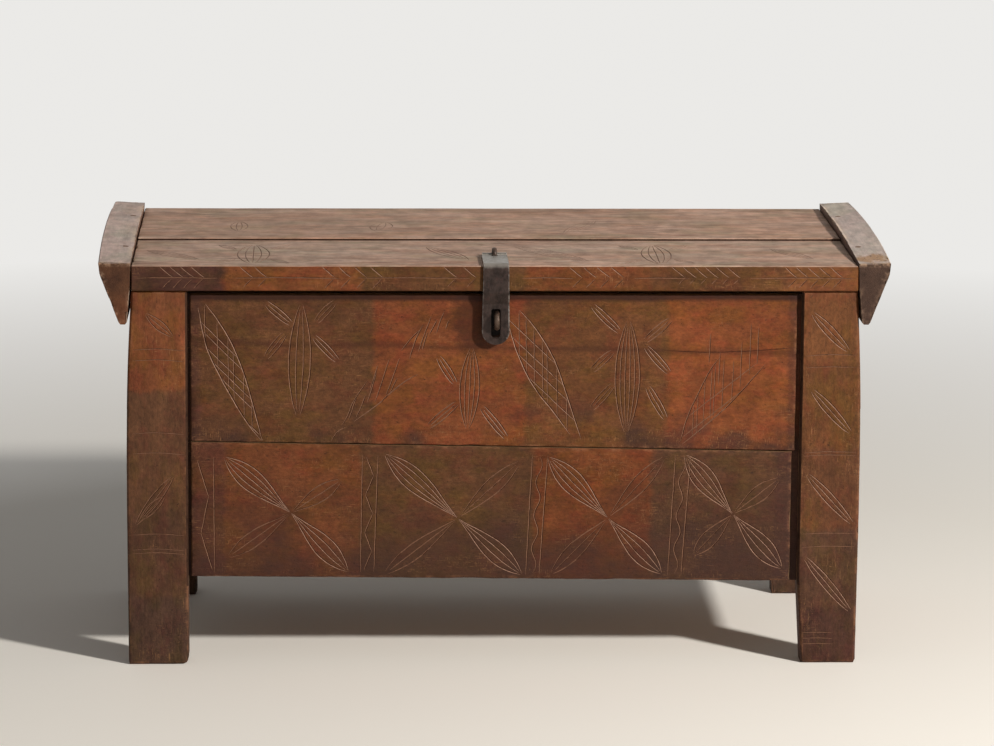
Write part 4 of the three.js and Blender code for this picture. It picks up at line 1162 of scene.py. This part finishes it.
for node, side, end, draw, shift, foot in (
    ("post_front_left", -1, -1, score_left_post, 2.3, (4.0, 12.0)),
    ("post_front_right", 1, -1, score_right_post, 3.1, (6.0, 7.0)),
    ("post_rear_left", -1, 1, None, 4.2, (5.0, 5.0)),
    ("post_rear_right", 1, 1, None, 5.4, (5.0, 5.0)),
):
    outer_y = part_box(node)[1 if end > 0 else 0][1]
    plank_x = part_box("side_plank_right_lower")[1][0] if side > 0 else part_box("side_plank_left_lower")[0][0]
    finishes = [stained.get(node, stained["post_rear"]), bare["z"], dark_seam]
    piece = worn_piece(
        node, "z", post_faces(side, end, outer_y, plank_x), finishes, 6.0, CARVED_DEPTH, 2.0, shift, foot
    )
    if draw:
        panel = Panel(node, FRONT, "z", CARVED_DEPTH, shift)
        draw(panel)
        score(piece, [panel])
    settle(piece, "carcase", node)


# Back and side planks.

for number, node in enumerate(("back_plank_lower", "back_plank_upper")):
    piece = worn_piece(node, "x", facing((0, 1, 0)), [stained["back"], bare["x"]], 8.0, 0.9, 1.8, 6.0 + number)
    settle(piece, "carcase", node)
for side, direction in (("left", (-1, 0, 0)), ("right", (1, 0, 0))):
    for number, level in enumerate(("lower", "upper")):
        node = f"side_plank_{side}_{level}"
        shift = 8.0 + number + direction[0] * 1.6
        piece = worn_piece(node, "y", facing(direction), [stained["side"], bare["y"]], 7.0, 0.7, 1.8, shift)
        settle(piece, "carcase", node)


# Lid: how deep it is hewn and the line its motifs are placed from, in millimetres, and how far from the
# middle its outer edges begin, in metres.

LID_DEPTH = 0.45
LID_LOW = -278.9
LID_EDGES = 0.25


def lid_board_faces(normal, centre):
    """Weathered top, stained edges in front and behind, bare underside, and dark where the boards meet."""
    if normal.z > 0.5:
        return 0
    if abs(normal.y) < 0.5:
        return 2
    return 1 if abs(centre.y) > LID_EDGES else 3


def score_lid_edge(panel):
    """Rows of arrowheads along the lid's front edge, and a line through them."""
    for row in (
        (-500, -452, 4, 16),
        (-377, -355, 2, 14),
        (-250, -176, 4, 16),
        (-62, -32, 2, 14),
        (132, 197, 4, 15),
        (292, 377, 6, 9),
        (466, 537, 5, 15),
    ):
        panel.arrowheads(*row)
    for start, end in ((-558, -430), (-405, -240), (-215, -40), (40, 120), (215, 300), (395, 555)):
        panel.line([(start, 615), ((start + end) / 2, 615.8), (end, 614.6)], 1.3, FAINT)


def lid_motif(panel, u, v, length, width):
    """A spindle with small leaves at its four corners, as on the front."""
    panel.leaf((u, v), (u, v + length), width, 5, 1.5, ON_TOP)
    for side in (-1, 1):
        near = u + side * width * 0.45
        panel.leaf((near + side * 34, v + 8), (near + side * 4, v + length * 0.28), 12, 3, 1.3, ON_TOP)
        panel.leaf((near + side * 4, v + length * 0.72), (near + side * 34, v + length - 8), 12, 3, 1.3, ON_TOP)


def score_lid_front(panel):
    low = LID_LOW
    lid_motif(panel, -376, low + 8, 200, 50)
    lid_motif(panel, 256, low + 8, 200, 46)
    panel.leaf((-546, low + 150), (-458, low + 50), 26, 4, 1.6, ON_TOP)
    panel.leaf((-104, low + 185), (-40, low + 50), 30, 4, 1.5, ON_TOP)
    panel.leaf((34, low + 192), (148, low + 36), 34, 5, 1.4, ON_TOP)
    panel.leaf((440, low + 170), (500, low + 60), 24, 4, 1.5, ON_TOP)


def score_lid_rear(panel):
    low = LID_LOW
    panel.leaf((-403, low + 318), (-403, low + 425), 28, 4, 1.2, ON_TOP)
    panel.leaf((-180, low + 322), (-166, low + 418), 36, 4, 1.2, ON_TOP)
    panel.leaf((120, low + 300), (180, low + 440), 26, 4, 1.2, ON_TOP)


for end, draw, shift in (("front", score_lid_front, 12.0), ("rear", score_lid_rear, 13.5)):
    node = f"lid_board_{end}"
    finishes = [weathered[end], stained["lid_edge"], bare["x"], dark_seam]
    piece = worn_piece(node, "x", lid_board_faces, finishes, 6.0, LID_DEPTH, 3.2, shift, frayed=0.25)
    panels = [Panel(node, TOP, "x", LID_DEPTH, shift)]
    draw(panels[0])
    if end == "front":
        panels.append(Panel(node, FRONT, "x", LID_DEPTH, shift))
        score_lid_edge(panels[1])
    score(piece, panels)
    settle(piece, "lid", node)


def cleat_faces(normal, centre):
    """End grain in front and behind, a weathered top, and darker sides."""
    if abs(normal.y) > 0.6:
        return 2
    return 0 if normal.z > 0.4 else 1


for side, shift in (("left", 15.0), ("right", 16.5)):
    node = f"lid_cleat_{side}"
    finishes = [weathered[f"cleat_{side}"], weathered["cleat_side"], cleat_end[side]]
    piece = worn_piece(node, "y", cleat_faces, finishes, 5.0, 0.6, 4.4, shift, frayed=0.5)
    settle(piece, "lid", node)


# Iron. Edges within this many metres of a piece's sides are rubbed, the right more than the left as a painted
# highlight.

IRON_CORNER = math.radians(50)
EDGE_REACH = 0.006
SHADED_LEFT_RUB = 0.35


def iron_piece(node, body, finish, arris, cell, hammered, swell):
    """A forged copy of an iron node: eased corners, a hammered surface, and beaten this much broader."""
    shape, rounded, wear = eased_copy(
        node, lambda edge: edge.calc_face_angle_signed() > IRON_CORNER, arris, cell
    )
    left, right = span_of(shape, 0)
    middle = (left + right) / 2
    for vert in shape.verts:
        outer = min(vert.co.x - left, right - vert.co.x) < EDGE_REACH
        # Painted highlight: the right edge, towards the lamp, takes the full rub and the left only a share.
        side = 1.0 if right - vert.co.x < EDGE_REACH else SHADED_LEFT_RUB
        vert[wear] = side if outer and any(face[rounded] for face in vert.link_faces) else 0.0
        vert.co.x = middle + (vert.co.x - middle) * swell
    dents = [(vert, vert.normal * hewn(vert.co * 3.0, "z", hammered, 1.0)) for vert in shape.verts]
    for vert, dent in dents:
        vert.co -= dent
    piece = made_piece(f"{node}_forged", shape, rounded, IRON_CORNER, [finish])
    settle(piece, body, node)


iron_piece("hasp", "hasp", strap_iron, 0.5, 3.0, 0.35, 1.0)
iron_piece("lock_staple", "carcase", staple_iron, 0.4, 2.5, 0.2, 1.28)
iron_piece("lid_staple", "lid", staple_iron, 0.4, 2.5, 0.2, 1.36)


# Pegs, pins and floor boards keep the solids' shape.


def dress(node, finish):
    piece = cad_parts[node]
    piece.data.materials.clear()
    piece.data.materials.append(finish)


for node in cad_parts:
    if node.startswith("floor_board"):
        dress(node, bare["y"])
    elif "peg" in node or "pin" in node:
        low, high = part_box(node)
        long = max(range(3), key=lambda i: high[i] - low[i])
        dress(node, peg_wood["xyz"[long]])


place_camera()
light_room()
lay_floor()
bpy.context.scene.view_settings.view_transform = "Standard"

[[list(corner) for corner in box] for box in (cad_box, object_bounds())]
